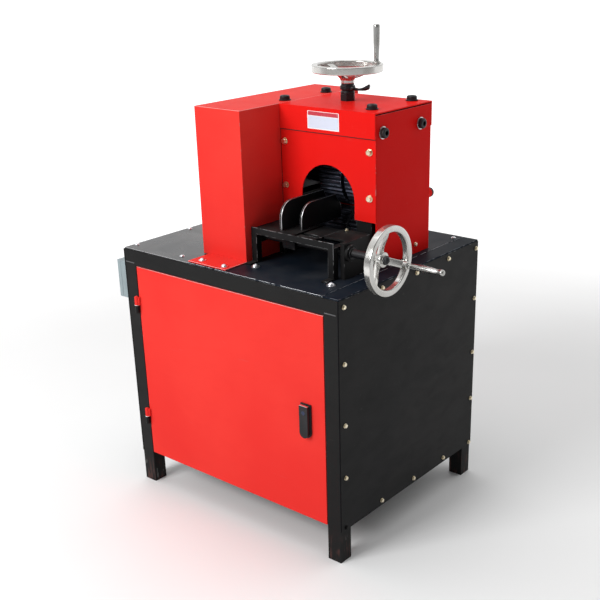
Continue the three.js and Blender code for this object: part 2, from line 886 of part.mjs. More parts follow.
function latchHandle() {
  const back = latchFace - seatGap;
  const handle = prism(latchOutline(latchInset), 'y', [back - latchHandleThickness, back]);
  const spindleZ = latchTop - latchSpindleDrop;
  const slotHalf = latchEarHalf + runningGap;
  const slot = block(
    [latchX - slotHalf, latchX + slotHalf],
    [latchPivotY - latchPivotDrop - runningGap, back + overrun],
    [spindleZ - 2 * latchSpindleRadius, latchTop + overrun],
  );
  const bore = rod(
    latchPinRadius + runningGap,
    'x',
    [latchPivotY, latchPivotZ],
    [latchX - latchPinHalf - runningGap, latchX + latchPinHalf + runningGap],
    pinSides,
  );
  const seatY = [back - spindleProud - runningGap, back + overrun];
  const seat = rod(latchSpindleRadius + seatPlay, 'y', [spindleZ, latchX], seatY, pinSides);
  const top = latchTop - latchInset;
  const corner = [
    new THREE.Vector2(back, top - latchChamfer),
    new THREE.Vector2(back + latchChamfer, top + latchChamfer),
    new THREE.Vector2(back - latchChamfer, top),
  ];
  const chamfer = prism(corner, 'x', [latchX - latchWidth, latchX + latchWidth]);
  return cut(handle, slot, seat, bore, chamfer);
}

function buildDoor() {
  const door = new THREE.Group();
  machine.add(door);
  piece(door, 'door', doorPan(), 'redPaint');
  piece(door, 'latch_plate', latchEscutcheon(), 'blackPlastic');
  piece(door, 'latch_spindle', latchSpindle(), 'steel');
  piece(door, 'latch_handle', latchHandle(), 'blackPlastic');
}

// Control box

const buttonY = boxFront + boxWidth / 2;
const startButtonZ = boxTop - boxHeight / 2 + buttonSpacing / 2;
const stopButtonZ = startButtonZ - buttonSpacing;

function controlBoxBody() {
  const body = block(
    [-seatGap - boxDepth, -seatGap],
    [boxFront, boxFront + boxWidth],
    [boxTop - boxHeight, boxTop],
  );
  const hollow = block(
    [-seatGap - boxDepth - overrun, -seatGap - boxWall],
    [boxFront + boxWall, boxFront + boxWidth - boxWall],
    [boxTop - boxHeight + boxWall, boxTop - boxWall],
  );
  return cut(body, hollow);
}

function controlBoxCover() {
  const back = -seatGap - boxDepth - seatGap;
  const cover = block(
    [boxCoverFace, back],
    [boxFront, boxFront + boxWidth],
    [boxTop - boxHeight, boxTop],
  );
  const hollow = block(
    [boxCoverFace + boxWall, back + overrun],
    [boxFront + boxWall, boxFront + boxWidth - boxWall],
    [boxTop - boxHeight + boxWall, boxTop - boxWall],
  );
  const faceSpan = [boxCoverFace - buttonBezelHeight, boxCoverFace + boxWall / 2];
  const bezels = [startButtonZ, stopButtonZ].map(
    (z) => rod(buttonBezel, 'x', [buttonY, z], faceSpan, knobSides),
  );
  const holeSpan = [boxCoverFace - buttonBezelHeight - overrun, back + overrun];
  const holes = [startButtonZ, stopButtonZ].map(
    (z) => rod(buttonHole, 'x', [buttonY, z], holeSpan, knobSides),
  );
  return cut(join(cover, ...bezels), hollow, ...holes);
}

function pushButton(z, reach, mushroom) {
  const flangeStart = boxCoverFace + boxWall + seatGap;
  const flangeEnd = flangeStart + buttonFlangeThickness;
  const tip = boxCoverFace - reach;
  const tail = buttonRadius * buttonTailShare;
  const profile = [[0, flangeEnd + buttonTail], [tail, flangeEnd + buttonTail]];
  profile.push([tail, flangeEnd], [buttonFlange, flangeEnd], [buttonFlange, flangeStart]);
  profile.push([buttonRadius, flangeStart]);
  if (mushroom) {
    const neck = tip + mushroomHeight;
    profile.push([buttonRadius, neck], [mushroomRadius, neck]);
    profile.push([mushroomRadius, neck - mushroomHeight * mushroomEdgeShare]);
    profile.push([mushroomRadius * mushroomFaceShare, tip + mushroomHeight * mushroomDomeShare]);
  } else {
    profile.push([buttonRadius, tip + buttonFlangeThickness / 2], [buttonRadius * startTipShare, tip]);
  }
  profile.push([0, tip]);
  return turned(profile, 'x', [buttonY, z], knobSides);
}

function buildControlBox() {
  const station = new THREE.Group();
  machine.add(station);
  piece(station, 'control_box', controlBoxBody(), 'greyPlastic');
  piece(station, 'control_box_cover', controlBoxCover(), 'greyPlastic');
  piece(station, 'start_button', pushButton(startButtonZ, startButtonReach, false), 'greenPlastic');
  piece(station, 'stop_button', pushButton(stopButtonZ, stopButtonReach, true), 'redPlastic');
}

// Head frame

function sidePlateOutline(withJackShaft) {
  const shape = new THREE.Shape();
  if (withJackShaft) {
    const front = jackShaftY - jackBossRadius;
    shape.moveTo(front, deckZ);
    shape.lineTo(front, jackShaftZ);
    for (let i = 1; i <= pinSides / 2; i += 1) {
      const angle = Math.PI - Math.PI * i / pinSides;
      shape.lineTo(
        jackShaftY + jackBossRadius * Math.cos(angle),
        jackShaftZ + jackBossRadius * Math.sin(angle),
      );
    }
    shape.lineTo(headFront, jackShaftZ + jackBossRadius);
  } else {
    shape.moveTo(headFront, deckZ);
  }
  shape.lineTo(headFront, sidePlateTop);
  shape.lineTo(rollerAxisY - windowHalf, sidePlateTop);
  shape.lineTo(rollerAxisY - windowHalf, windowBottom);
  shape.lineTo(rollerAxisY + windowHalf, windowBottom);
  shape.lineTo(rollerAxisY + windowHalf, sidePlateTop);
  shape.lineTo(headBack, sidePlateTop);
  shape.lineTo(headBack, deckZ);
  return shape;
}

const screwHoleRadius = screwShank + runningGap;
const crownScrewX = [headCentreX - crownScrewPitchX / 2, headCentreX + crownScrewPitchX / 2];
const crownScrewY = [rollerAxisY - crownScrewPitchY / 2, rollerAxisY + crownScrewPitchY / 2];

function crownScrewHoles(x, zSpan) {
  return crownScrewY.map((y) => rod(screwHoleRadius, 'z', [x, y], zSpan, pinSides));
}

function sidePlate(x0, withJackShaft, screwX) {
  const holes = [circleHole(bearingRadius + seatGap, shaftSides, [rollerAxisY, lowerAxisZ])];
  if (withJackShaft) {
    holes.push(circleHole(jackBearingRadius + seatGap, shaftSides, [jackShaftY, jackShaftZ]));
  }
  const plate = prism(sidePlateOutline(withJackShaft), 'x', [x0, x0 + sidePlateThickness], holes);
  const blind = [sidePlateTop - crownScrewDepth - overrun, sidePlateTop + overrun];
  const tools = crownScrewHoles(screwX, blind);
  if (!withJackShaft) {
    const face = x0 + sidePlateThickness;
    for (const [y, z] of sideScrews) {
      tools.push(
        rod(screwHoleRadius, 'x', [y, z], [face - sideScrewBite - overrun, face + overrun], pinSides),
      );
    }
  }
  return cut(plate, ...tools);
}

function crownPlate() {
  const plate = block([outerLeft, outerRight], [headFront, headBack], [crownBottom, crownTop]);
  const throughZ = [crownBottom - overrun, crownTop + overrun];
  const pocket = rod(
    crownHoleRadius,
    'z',
    [headCentreX, rollerAxisY],
    [crownBottom - overrun, crownTop - crownSkin],
  );
  const bore = rod(spindleRadius + runningGap, 'z', [headCentreX, rollerAxisY], throughZ);
  const holes = crownScrewX.flatMap((x) => crownScrewHoles(x, throughZ));
  return cut(plate, pocket, bore, ...holes);
}

function socketScrew(axis, centre, face, bite) {
  const washerStart = face + seatGap;
  const headStart = washerStart + washerThickness;
  const headEnd = headStart + screwHead;
  const washer = rod(washerRadius, axis, centre, [washerStart, headStart + seatGap], 2 * boltSides);
  const head = rod(screwRadius, axis, centre, [headStart, headEnd], 2 * boltSides);
  const shank = rod(screwShank, axis, centre, [face - bite, headStart + seatGap], pinSides);
  const socket = prism(
    ring(screwSocketRadius, boltSides, centre),
    axis,
    [headEnd - screwSocketDepth, headEnd + overrun],
  );
  return cut(join(washer, head, shank), socket);
}

function crownScrew(x, y) {
  return socketScrew('z', [x, y], headTop, headTop - sidePlateTop + crownScrewDepth);
}

function sideScrew(place) {
  return socketScrew('x', place, coverRight, coverRight - outerRight + sideScrewBite);
}

// Inverted U in (z, x), open at the bottom under the arch
function archCover(bottom, top, x0, x1) {
  const archZ = archTop - archRadius;
  const shape = new THREE.Shape();
  shape.moveTo(bottom, x0);
  shape.lineTo(top, x0);
  shape.lineTo(top, x1);
  shape.lineTo(bottom, x1);
  shape.lineTo(bottom, archCentreX + archRadius);
  for (let i = 0; i <= archSides; i += 1) {
    const angle = Math.PI * i / archSides;
    shape.lineTo(archZ + archRadius * Math.sin(angle), archCentreX + archRadius * Math.cos(angle));
  }
  shape.lineTo(bottom, archCentreX - archRadius);
  return shape;
}

const coverTop = capUnder - coverUnderCap;
const frontSheetY = [coverFront + coverSheet + seatGap, coverFront + 2 * coverSheet + seatGap];
const backSheetY = [coverBack - 2 * coverSheet - seatGap, coverBack - coverSheet - seatGap];

function frontCover() {
  return prism(archCover(frontCoverBottom, coverTop, coverLeft + seatGap, coverRight), 'y', frontSheetY);
}

// Back sheet with a screwed boss near its right edge
function rearCover() {
  const sheet = prism(archCover(deckZ, coverTop, coverLeft + seatGap, coverRight), 'y', backSheetY);
  const place = [cabinetHeight + rearBossRise, coverRight - rearBossInset];
  const boss = rod(rearBossRadius, 'y', place, [backSheetY[0], backSheetY[1] + rearBossReach]);
  return join(sheet, boss);
}

// Side sheet with both edges folded in and stand-offs for its screws
function rightCover() {
  const y = [frontSheetY[1] + seatGap, backSheetY[0] - seatGap];
  const z = [deckZ, coverTop];
  const inside = coverRight - coverSheet;
  const sheet = block([inside, coverRight], y, z);
  const foldX = [coverRight - coverFlange, coverRight];
  const foldFront = block(
    [outerRight + seatGap, coverRight],
    [y[0], headFront - seatGap],
    [frontCoverBottom, coverTop],
  );
  const foldBack = block(foldX, [y[1] - coverSheet, y[1]], z);
  const standOffs = sideScrews.map(
    (place) => rod(
      sideStandOff,
      'x',
      place,
      [outerRight + seatGap, coverRight - coverSheet / 2],
      2 * boltSides,
    ),
  );
  const holes = sideScrews.map(
    (place) => rod(screwHoleRadius, 'x', place, [outerRight - overrun, coverRight + overrun], pinSides),
  );
  return cut(join(sheet, foldFront, foldBack, ...standOffs), ...holes);
}

function topCap() {
  const x = [coverLeft + seatGap, coverRight];
  const top = block(x, [coverFront, coverBack], [capUnder, headTop]);
  const bandZ = [headTop - capBandHeight, headTop];
  const front = block(x, [coverFront, coverFront + coverSheet], bandZ);
  const back = block(x, [coverBack - coverSheet, coverBack], bandZ);
  const throughZ = [capUnder - overrun, headTop + overrun];
  const spindleHole = rod(spindleRadius + overrun, 'z', [headCentreX, rollerAxisY], throughZ);
  return cut(join(top, front, back), spindleHole, ...crownScrewHoles(crownScrewX[1], throughZ));
}

// Thin box open at the bottom and towards the head, with a foot on the base plate
function beltGuard() {
  const outer = block([guardLeft, coverLeft], [guardFront, guardBack], [deckZ, headTop]);
  const inner = block(
    [guardLeft + guardSheet, coverLeft - guardSheet],
    [guardFront + guardSheet, guardBack - guardSheet],
    [deckZ - overrun, capUnder],
  );
  const towardsHead = block(
    [coverLeft - guardSheet - overrun, coverLeft + overrun],
    [coverFront + coverSheet, coverBack],
    [deckZ - overrun, capUnder],
  );
  const foot = block(
    [flangeStart, coverLeft],
    [guardFront - flangeReach, guardFront + guardSheet],
    [deckZ, deckZ + coverSheet],
  );
  const throughZ = [capUnder - overrun, headTop + overrun];
  return cut(join(outer, foot), inner, towardsHead, ...crownScrewHoles(crownScrewX[0], throughZ));
}

function buildHead() {
  const head = new THREE.Group();
  machine.add(head);
  piece(head, 'left_side_plate', sidePlate(outerLeft, true, crownScrewX[0]), 'blackPaint');
  piece(head, 'right_side_plate', sidePlate(innerRight, false, crownScrewX[1]), 'blackPaint');
  piece(head, 'crown_plate', crownPlate(), 'blackPaint');
  for (const [column, x] of crownScrewX.entries()) {
    for (const [row, y] of crownScrewY.entries()) {
      const number = 1 + column * crownScrewY.length + row;
      piece(head, `crown_screw_${number}`, crownScrew(x, y), 'blackSteel');
    }
  }
  piece(head, 'front_cover', frontCover(), 'redPaint');
  piece(head, 'rear_cover', rearCover(), 'redPaint');
  piece(head, 'right_cover', rightCover(), 'redPaint');
  piece(head, 'top_cap', topCap(), 'redPaint');
  piece(head, 'belt_guard', beltGuard(), 'redPaint');
  for (const [row, place] of sideScrews.entries()) {
    piece(head, `side_screw_${row + 1}`, sideScrew(place), 'blackSteel');
  }
}

// Rollers, blade and bearings

// Axial ribs round a roller, as a closed outline about its axis
function ribbedOutline(radius, teeth, centre) {
  const points = [];
  const step = 2 * Math.PI / teeth;
  const grooveShare = (1 + toothLandShare) / 2;
  const corners = [[0, radius], [toothLandShare, radius], [grooveShare, radius - toothDepth]];
  for (let i = 0; i < teeth; i += 1) {
    for (const [share, reach] of corners) {
      const angle = (i + share) * step;
      points.push(
        new THREE.Vector2(centre[0] + reach * Math.cos(angle), centre[1] + reach * Math.sin(angle)),
      );
    }
  }
  return points;
}

const halfBlade = bladeThickness / 2;
const leftRollerEnd = bladeCentreX - halfBlade - seatGap;
const rightRollerStart = bladeCentreX + halfBlade + seatGap;

function lowerShaft() {
  const shaft = rod(shaftRadius, 'x', lowerAxis, [gearStart - seatGap, outerRight - blockInset]);
  const shoulder = rod(shoulderRadius, 'x', lowerAxis, [innerLeft + blockInset, rollerStart + overrun]);
  const ribs = prism(
    ribbedOutline(lowerRollerRadius, lowerTeeth, lowerAxis),
    'x',
    [rollerStart, leftRollerEnd],
  );
  return join(shaft, shoulder, ribs);
}

function lowerRollerClamp() {
  const hole = circleHole(shaftRadius + seatGap, shaftSides, lowerAxis);
  return prism(
    ribbedOutline(lowerRollerRadius, lowerTeeth, lowerAxis),
    'x',
    [rightRollerStart, rollerEnd],
    [hole],
  );
}

function roundBlade() {
  const edge = lowerRollerRadius + bladeReach;
  const bore = shaftRadius + seatGap;
  const left = bladeCentreX - halfBlade;
  const right = bladeCentreX + halfBlade;
  const profile = [[bore, left], [bore, right], [edge - bladeBevel, right], [edge, bladeCentreX]];
  profile.push([edge - bladeBevel, left], [bore, left]);
  return turned(profile, 'x', lowerAxis, wheelSides);
}

function upperRoller() {
  const shaft = rod(shaftRadius, 'x', upperAxis, [outerLeft + blockInset, outerRight - blockInset]);
  const core = rod(
    upperRollerRadius - grooveDepth,
    'x',
    upperAxis,
    [rollerStart + overrun, rollerEnd - overrun],
    wheelSides,
  );
  const shoulder = rod(
    shoulderRadius,
    'x',
    upperAxis,
    [innerLeft + blockInset, rollerStart + 2 * overrun],
  );
  const outline = ribbedOutline(upperRollerRadius, upperTeeth, upperAxis);
  const left = prism(outline, 'x', [rollerStart, bladeCentreX - grooveHalf]);
  const right = prism(outline, 'x', [bladeCentreX + grooveHalf, rollerEnd]);
  return join(shaft, core, shoulder, left, right);
}

function bearingRing(outer, inner, centre, x0) {
  return tubeOf(outer, inner, 'x', centre, [x0 + blockInset, x0 + sidePlateThickness - blockInset]);
}

function slidingBlock(x0) {
  const half = windowHalf - seatGap;
  const body = block(
    [x0 + blockInset, x0 + sidePlateThickness - blockInset],
    [rollerAxisY - half, rollerAxisY + half],
    [upperAxisZ - blockHeight / 2, upperAxisZ + blockHeight / 2],
  );
  const bore = rod(
    shaftRadius + runningGap,
    'x',
    upperAxis,
    [x0 - overrun, x0 + sidePlateThickness + overrun],
  );
  return cut(body, bore);
}

function pressureYoke() {
  const bottom = upperAxisZ + yokeBottom;
  const top = bottom + yokeThickness;
  const y = [rollerAxisY - yokeHalf, rollerAxisY + yokeHalf];
  const beam = block([outerLeft + blockInset, outerRight - blockInset], y, [bottom, top]);
  const legZ = [upperAxisZ + blockHeight / 2 + seatGap, bottom + overrun];
  const legs = [outerLeft, innerRight].map(
    (x) => block([x + blockInset, x + sidePlateThickness - blockInset], y, legZ),
  );
  const boss = rod(
    yokeBossRadius,
    'z',
    [headCentreX, rollerAxisY],
    [top - overrun, top + yokeBossHeight],
  );
  const thread = rod(
    spindleRadius + runningGap,
    'z',
    [headCentreX, rollerAxisY],
    [bottom - overrun, top + yokeBossHeight + overrun],
  );
  return cut(join(beam, boss, ...legs), thread);
}

function buildRollers() {
  const rollers = new THREE.Group();
  machine.add(rollers);
  piece(rollers, 'lower_roller_shaft', lowerShaft(), 'blackSteel');
  piece(rollers, 'lower_roller_clamp', lowerRollerClamp(), 'blackSteel');
  piece(rollers, 'round_blade', roundBlade(), 'steel');
  piece(rollers, 'upper_roller', upperRoller(), 'blackSteel');
  const rollerBore = shaftRadius + runningGap;
  piece(
    rollers,
    'left_roller_bearing',
    bearingRing(bearingRadius, rollerBore, lowerAxis, outerLeft),
    'steel',
  );
  piece(
    rollers,
    'right_roller_bearing',
    bearingRing(bearingRadius, rollerBore, lowerAxis, innerRight),
    'steel',
  );
  const pinionBore = jackShaftRadius + runningGap;
  piece(
    rollers,
    'pinion_bearing',
    bearingRing(jackBearingRadius, pinionBore, jackAxis, outerLeft),
    'steel',
  );
  piece(rollers, 'left_sliding_block', slidingBlock(outerLeft), 'blackSteel');
  piece(rollers, 'right_sliding_block', slidingBlock(innerRight), 'blackSteel');
  piece(rollers, 'pressure_yoke', pressureYoke(), 'blackSteel');
}

// Gears and belts

// Each flank runs from root to tip, with a point at the pitch line on the pinion's short, round flanks
function gearOutline(teeth, centre, turn) {
  const pitch = gearModule * teeth / 2;
  const root = pitch - gearModule * gearDedendumShare;
  const tip = pitch + gearModule * gearAddendumShare;
  const curved = teeth < roundFlankTeeth ? [[pitch, toothPitchShare]] : [];
  const flank = [[root, toothRootShare], ...curved, [tip, toothTipShare]];
  const points = [];
  for (let i = 0; i < teeth; i += 1) {
    const middle = turn + 2 * Math.PI * i / teeth;
    const rise = flank.map(([reach, share]) => [reach, middle - Math.PI * share / teeth]);
    const fall = flank.toReversed().map(([reach, share]) => [reach, middle + Math.PI * share / teeth]);
    for (const [reach, angle] of [...rise, ...fall]) {
      points.push(
        new THREE.Vector2(centre[0] + reach * Math.cos(angle), centre[1] + reach * Math.sin(angle)),
      );
    }
  }
  return points;
}

const meshAngle = Math.atan2(jackShaftZ - lowerAxisZ, jackShaftY - rollerAxisY);

function lowerGear() {
  const bore = circleHole(shaftRadius + seatGap, shaftSides, lowerAxis);
  return prism(gearOutline(gearTeeth, lowerAxis, meshAngle), 'x', [gearStart, gearEnd], [bore]);
}

function jackShaft() {
  const shaft = rod(jackShaftRadius, 'x', jackAxis, [pulleyStart, innerLeft - blockInset]);
  const turn = meshAngle + Math.PI + Math.PI / pinionTeeth;
  const pinion = prism(gearOutline(pinionTeeth, jackAxis, turn), 'x', [gearStart, gearEnd]);
  return join(shaft, pinion);
}

function grooveCentres() {
  const middle = (pulleyStart + pulleyEnd) / 2;
  return Array.from({ length: beltCount }, (_, i) => middle + (i - (beltCount - 1) / 2) * beltPitch);
}

function pulley(radius, bore, axis) {
  const outer = radius + pulleyRim;
  const floor = radius - beltHeight / 2 - beltFloorClearance;
  const profile = [[bore, pulleyStart], [outer, pulleyStart]];
  const widening = rimWideningShare * (beltTopWidth - beltBottomWidth) / beltHeight;
  const wideHalf = beltTopWidth / 2 + beltClearance + pulleyRim * widening;
  const narrowHalf = beltBottomWidth / 2 + beltClearance;
  for (const x of grooveCentres()) {
    profile.push(
      [outer, x - wideHalf],
      [floor, x - narrowHalf],
      [floor, x + narrowHalf],
      [outer, x + wideHalf],
    );
  }
  profile.push([outer, pulleyEnd], [bore, pulleyEnd], [bore, pulleyStart]);
  return turned(profile, 'x', axis, beltPulleySides);
}

// A belt follows the common tangents of its two pulleys, in (y, z)
function beltPath() {
    const lean = Math.asin((jackPulleyRadius - motorPulleyRadius) / (jackShaftZ - motorAxisZ));
  const path = [];
  for (let i = 0; i <= beltArcSteps; i += 1) {
    const angle = -lean + (Math.PI + 2 * lean) * i / beltArcSteps;
    path.push([jackAxis, jackPulleyRadius, angle]);
  }
  for (let i = 0; i <= beltArcSteps; i += 1) {
    const angle = Math.PI + lean + (Math.PI - 2 * lean) * i / beltArcSteps;
    path.push([motorAxis, motorPulleyRadius, angle]);
  }
  return path;
}

function belt(x) {
  const section = [
    [-beltBottomWidth / 2, -beltHeight / 2],
    [beltBottomWidth / 2, -beltHeight / 2],
    [beltTopWidth / 2, beltHeight / 2],
    [-beltTopWidth / 2, beltHeight / 2],
  ];
  const path = beltPath();
  const positions = [];
  const index = [];
  path.forEach(([centre, radius, angle], i) => {
    for (const [across, out] of section) {
      const reach = radius + out;
      positions.push(
        x + across,
        centre[0] + reach * Math.cos(angle),
        centre[1] + reach * Math.sin(angle),
      );
    }
    const next = (i + 1) % path.length;
    for (let k = 0; k < section.length; k += 1) {
      const l = (k + 1) % section.length;
      const [a, b] = [i * section.length + k, i * section.length + l];
      const [c, d] = [next * section.length + k, next * section.length + l];
      index.push(a, b, d, a, d, c);
    }
  });
  const geometry = new THREE.BufferGeometry();
  geometry.setAttribute('position', new THREE.BufferAttribute(new Float32Array(positions), 3));
  geometry.setIndex(new THREE.BufferAttribute(new Uint32Array(index), 1));
  return outward(geometry);
}

function buildDrive() {
  const drive = new THREE.Group();
  machine.add(drive);
  piece(drive, 'roller_gear', lowerGear(), 'steel');
  piece(drive, 'pinion_shaft', jackShaft(), 'steel');
  piece(drive, 'large_pulley', pulley(jackPulleyRadius, jackShaftRadius + seatGap, jackAxis), 'castIron');
  for (const [i, x] of grooveCentres().entries()) {
    piece(drive, `drive_belt_${i + 1}`, belt(x), 'rubber');
  }
}

// Motor

const statorStart = motorStart + motorBellLength;
const statorEnd = statorStart + statorLength;

function motorPlate() {
  const x = [frameLeft + seatGap, frameRight - seatGap];
  return block(x, [motorPlateFront, motorPlateBack], [motorPlateBottom, motorPlateTop]);
}

function finnedOutline() {
  const points = [];
  const step = 2 * Math.PI / finCount;
  for (let i = 0; i < finCount; i += 1) {
    for (const [share, reach] of [[0, finHeight], [finShare, finHeight], [finShare, 0], [1, 0]]) {
      const angle = (i + share) * step;
      const radius = statorRadius + reach;
      points.push(
        new THREE.Vector2(
          motorAxis[0] + radius * Math.cos(angle),
          motorAxis[1] + radius * Math.sin(angle),
        ),
      );
    }
  }
  return points;
}

function motorBody() {
  const bore = motorShaftRadius + runningGap;
  const bell = turned([
    [bore, motorStart],
    [motorBellRadius * bellNeckShare, motorStart],
    [motorBellRadius * bellShoulderShare, motorStart + motorBellLength * bellNeckEndShare],
    [motorBellRadius, motorStart + motorBellLength * bellShoulderEndShare],
    [motorBellRadius, statorStart + overrun],
    [bore, statorStart + overrun],
    [bore, motorStart],
  ], 'x', motorAxis);
  const stator = prism(finnedOutline(), 'x', [statorStart, statorEnd]);
  const footX = [
    statorStart + (statorLength - motorFootLength) / 2,
    statorEnd - (statorLength - motorFootLength) / 2,
  ];
  const footZ = [motorPlateTop + seatGap, motorPlateTop + seatGap + motorFootThickness];
  const feet = [-1, 1].flatMap((side) => {
    const inner = motorAxis[0] + side * motorFootSpread;
    const outer = inner + side * motorFootWidth;
    const web = inner + side * motorWebThickness;
    return [
      block(footX, [Math.min(inner, outer), Math.max(inner, outer)], footZ),
      block(
        footX,
        [Math.min(inner, web), Math.max(inner, web)],
        [footZ[0], motorAxisZ - motorFootSpread / 2],
      ),
    ];
  });
  const middle = (statorStart + statorEnd) / 2;
  const terminal = block(
    [middle - terminalBoxLength / 2, middle + terminalBoxLength / 2],
    [motorAxis[0] - terminalBoxWidth / 2, motorAxis[0] + terminalBoxWidth / 2],
    [motorAxisZ + statorRadius * terminalBaseShare, motorAxisZ + statorRadius + terminalBoxHeight],
  );
  const shaftHole = rod(bore, 'x', motorAxis, [motorStart - overrun, statorStart + statorLength / 2]);
  return cut(join(bell, stator, terminal, fanCover(), ...feet), shaftHole);
}

function fanCover() {
  const start = statorEnd - overrun;
  const end = statorEnd + fanCoverLength;
  return turned([
    [0, start],
    [fanCoverRadius, start],
    [fanCoverRadius, end - fanCoverRound],
    [fanCoverRadius - fanCoverRound * fanCoverArcShare, end - fanCoverRound * fanCoverArcShare],
    [fanCoverRadius - fanCoverRound, end],
    [0, end],
  ], 'x', motorAxis);
}

function motorShaft() {
  const shaft = rod(
    motorShaftRadius,
    'x',
    motorAxis,
    [pulleyStart - overrun, statorStart + statorLength / 2 - overrun],
  );
  return join(shaft, pulley(motorPulleyRadius, motorShaftRadius - overrun, motorAxis));
}

function buildMotor() {
  const motor = new THREE.Group();
  machine.add(motor);
  piece(motor, 'motor_plate', motorPlate(), 'blackPaint');
  piece(motor, 'motor_body', motorBody(), 'castIron');
  piece(motor, 'motor_shaft', motorShaft(), 'steel');
}

// Handwheels, built about z with the hub's underside at zero

// Rim with a flat outer band and well rounded inner corners
function wheelRim(radius) {
  const inner = radius - wheelRimWidth;
  const low = wheelRimTop - wheelRimThickness;
  return turned([
    [inner, low + rimInnerChamfer],
    [inner + rimInnerChamfer, low],
    [radius - rimOuterChamfer, low],
    [radius, low + rimOuterChamfer],
    [radius, wheelRimTop - rimOuterChamfer],
    [radius - rimOuterChamfer, wheelRimTop],
    [inner + rimInnerChamfer, wheelRimTop],
    [inner, wheelRimTop - rimInnerChamfer],
    [inner, low + rimInnerChamfer],
  ], 'z', [0, 0], wheelSides);
}

function wheelHub() {
  return turned([
    [0, 0],
    [wheelHubNeck, 0],
    [wheelHubNeck, wheelHubHeight * hubNeckEndShare],
    [wheelHubRadius, wheelHubHeight * hubFlareEndShare],
    [wheelHubRadius, wheelHubHeight],
    [0, wheelHubHeight],
  ], 'z', [0, 0], knobSides);
}

// A spoke climbs from the hub to the rim, oval in section and narrowest at the middle
function spoke(radius, turn) {
  const start = wheelHubNeck * spokeStartShare;
  const end = radius - wheelRimWidth / 2;
  const hubZ = wheelHubHeight * spokeHubShare;
  const rimZ = wheelRimTop - wheelRimThickness / 2;
  const steps = spokeSteps;
  const sides = boltSides;
  const positions = [];
  const index = [];
  for (let i = 0; i <= steps; i += 1) {
    const share = i / steps;
    const reach = start + (end - start) * share;
    const rise = hubZ + (rimZ - hubZ) * (1 - Math.cos(Math.PI * share)) / 2;
    const narrowing = 1 - spokeWaistShare * Math.sin(Math.PI * share);
    for (let k = 0; k < sides; k += 1) {
      const angle = 2 * Math.PI * (k + 0.5) / sides;
      const across = spokeWidth / 2 * narrowing * Math.cos(angle);
      positions.push(reach, across, rise + spokeThickness / 2 * Math.sin(angle));
    }
  }
  for (let i = 0; i < steps; i += 1) {
    for (let k = 0; k < sides; k += 1) {
      const l = (k + 1) % sides;
      const [a, b, c, d] = [i * sides + k, i * sides + l, (i + 1) * sides + k, (i + 1) * sides + l];
      index.push(a, b, d, a, d, c);
    }
  }
  for (let k = 1; k < sides - 1; k += 1) {
    index.push(0, k + 1, k, steps * sides, steps * sides + k, steps * sides + k + 1);
  }
  const geometry = new THREE.BufferGeometry();
  geometry.setAttribute('position', new THREE.BufferAttribute(new Float32Array(positions), 3));
  geometry.setIndex(new THREE.BufferAttribute(new Uint32Array(index), 1));
  geometry.rotateZ(turn);
  return outward(geometry);
}

function handwheel(radius, gripLength) {
  const spokes = Array.from(
    { length: wheelSpokes },
    (_, i) => spoke(radius, 2 * Math.PI * i / wheelSpokes),
  );
  const gripX = radius * gripCircleShare;
  const boss = rod(
    gripBossRadius,
    'z',
    [gripX, 0],
    [wheelRimTop - wheelRimThickness, wheelRimTop + gripBossHeight],
    pinSides,
  );
  const studTop = wheelRimTop + gripBossHeight + gripLength * gripStudShare;
  const stud = rod(gripStud, 'z', [gripX, 0], [wheelRimTop, studTop], pinSides);
  const bore = rod(spindleEnd + seatGap, 'z', [0, 0], [-overrun, wheelHubHeight + overrun], knobSides);
  return cut(join(wheelRim(radius), wheelHub(), boss, stud, ...spokes), bore);
}

// Revolving grip, from pairs of radius and height as shares of its own
function wheelGrip(radius, length, shape) {
  const base = wheelRimTop + gripBossHeight + seatGap;
  const boreEnd = base + length * gripBoreShare;
  const outside = shape.map(
    ([radiusShare, heightShare]) => [gripRadius * radiusShare, base + length * heightShare],
  );
  const inside = [[0, base + length], [0, boreEnd], [gripBore, boreEnd], [gripBore, base]];
  return turned([[gripBore, base], ...outside, ...inside], 'z', [radius * gripCircleShare, 0], knobSides);
}

function pressureScrew() {
  const lower = rod(spindleRadius, 'z', [headCentreX, rollerAxisY], [spindleLow, lockNutTop - seatGap]);
  const wheelEnd = lockNutTop + wheelHubHeight + seatGap;
  const upper = rod(
    spindleEnd,
    'z',
    [headCentreX, rollerAxisY],
    [lockNutTop - overrun, wheelEnd + overrun],
  );
  const nut = prism(
    ring(endNutRadius, boltSides, [headCentreX, rollerAxisY]),
    'z',
    [wheelEnd, wheelEnd + endNutHeight],
  );
  return join(lower, upper, nut);
}

function spindleNut() {
  const centre = [headCentreX, rollerAxisY];
  const z = [headTop + seatGap, spindleNutTop];
  return prism(
    ring(spindleNutRadius, boltSides, centre),
    'z',
    z,
    [circleHole(spindleRadius + runningGap, shaftSides, centre)],
  );
}

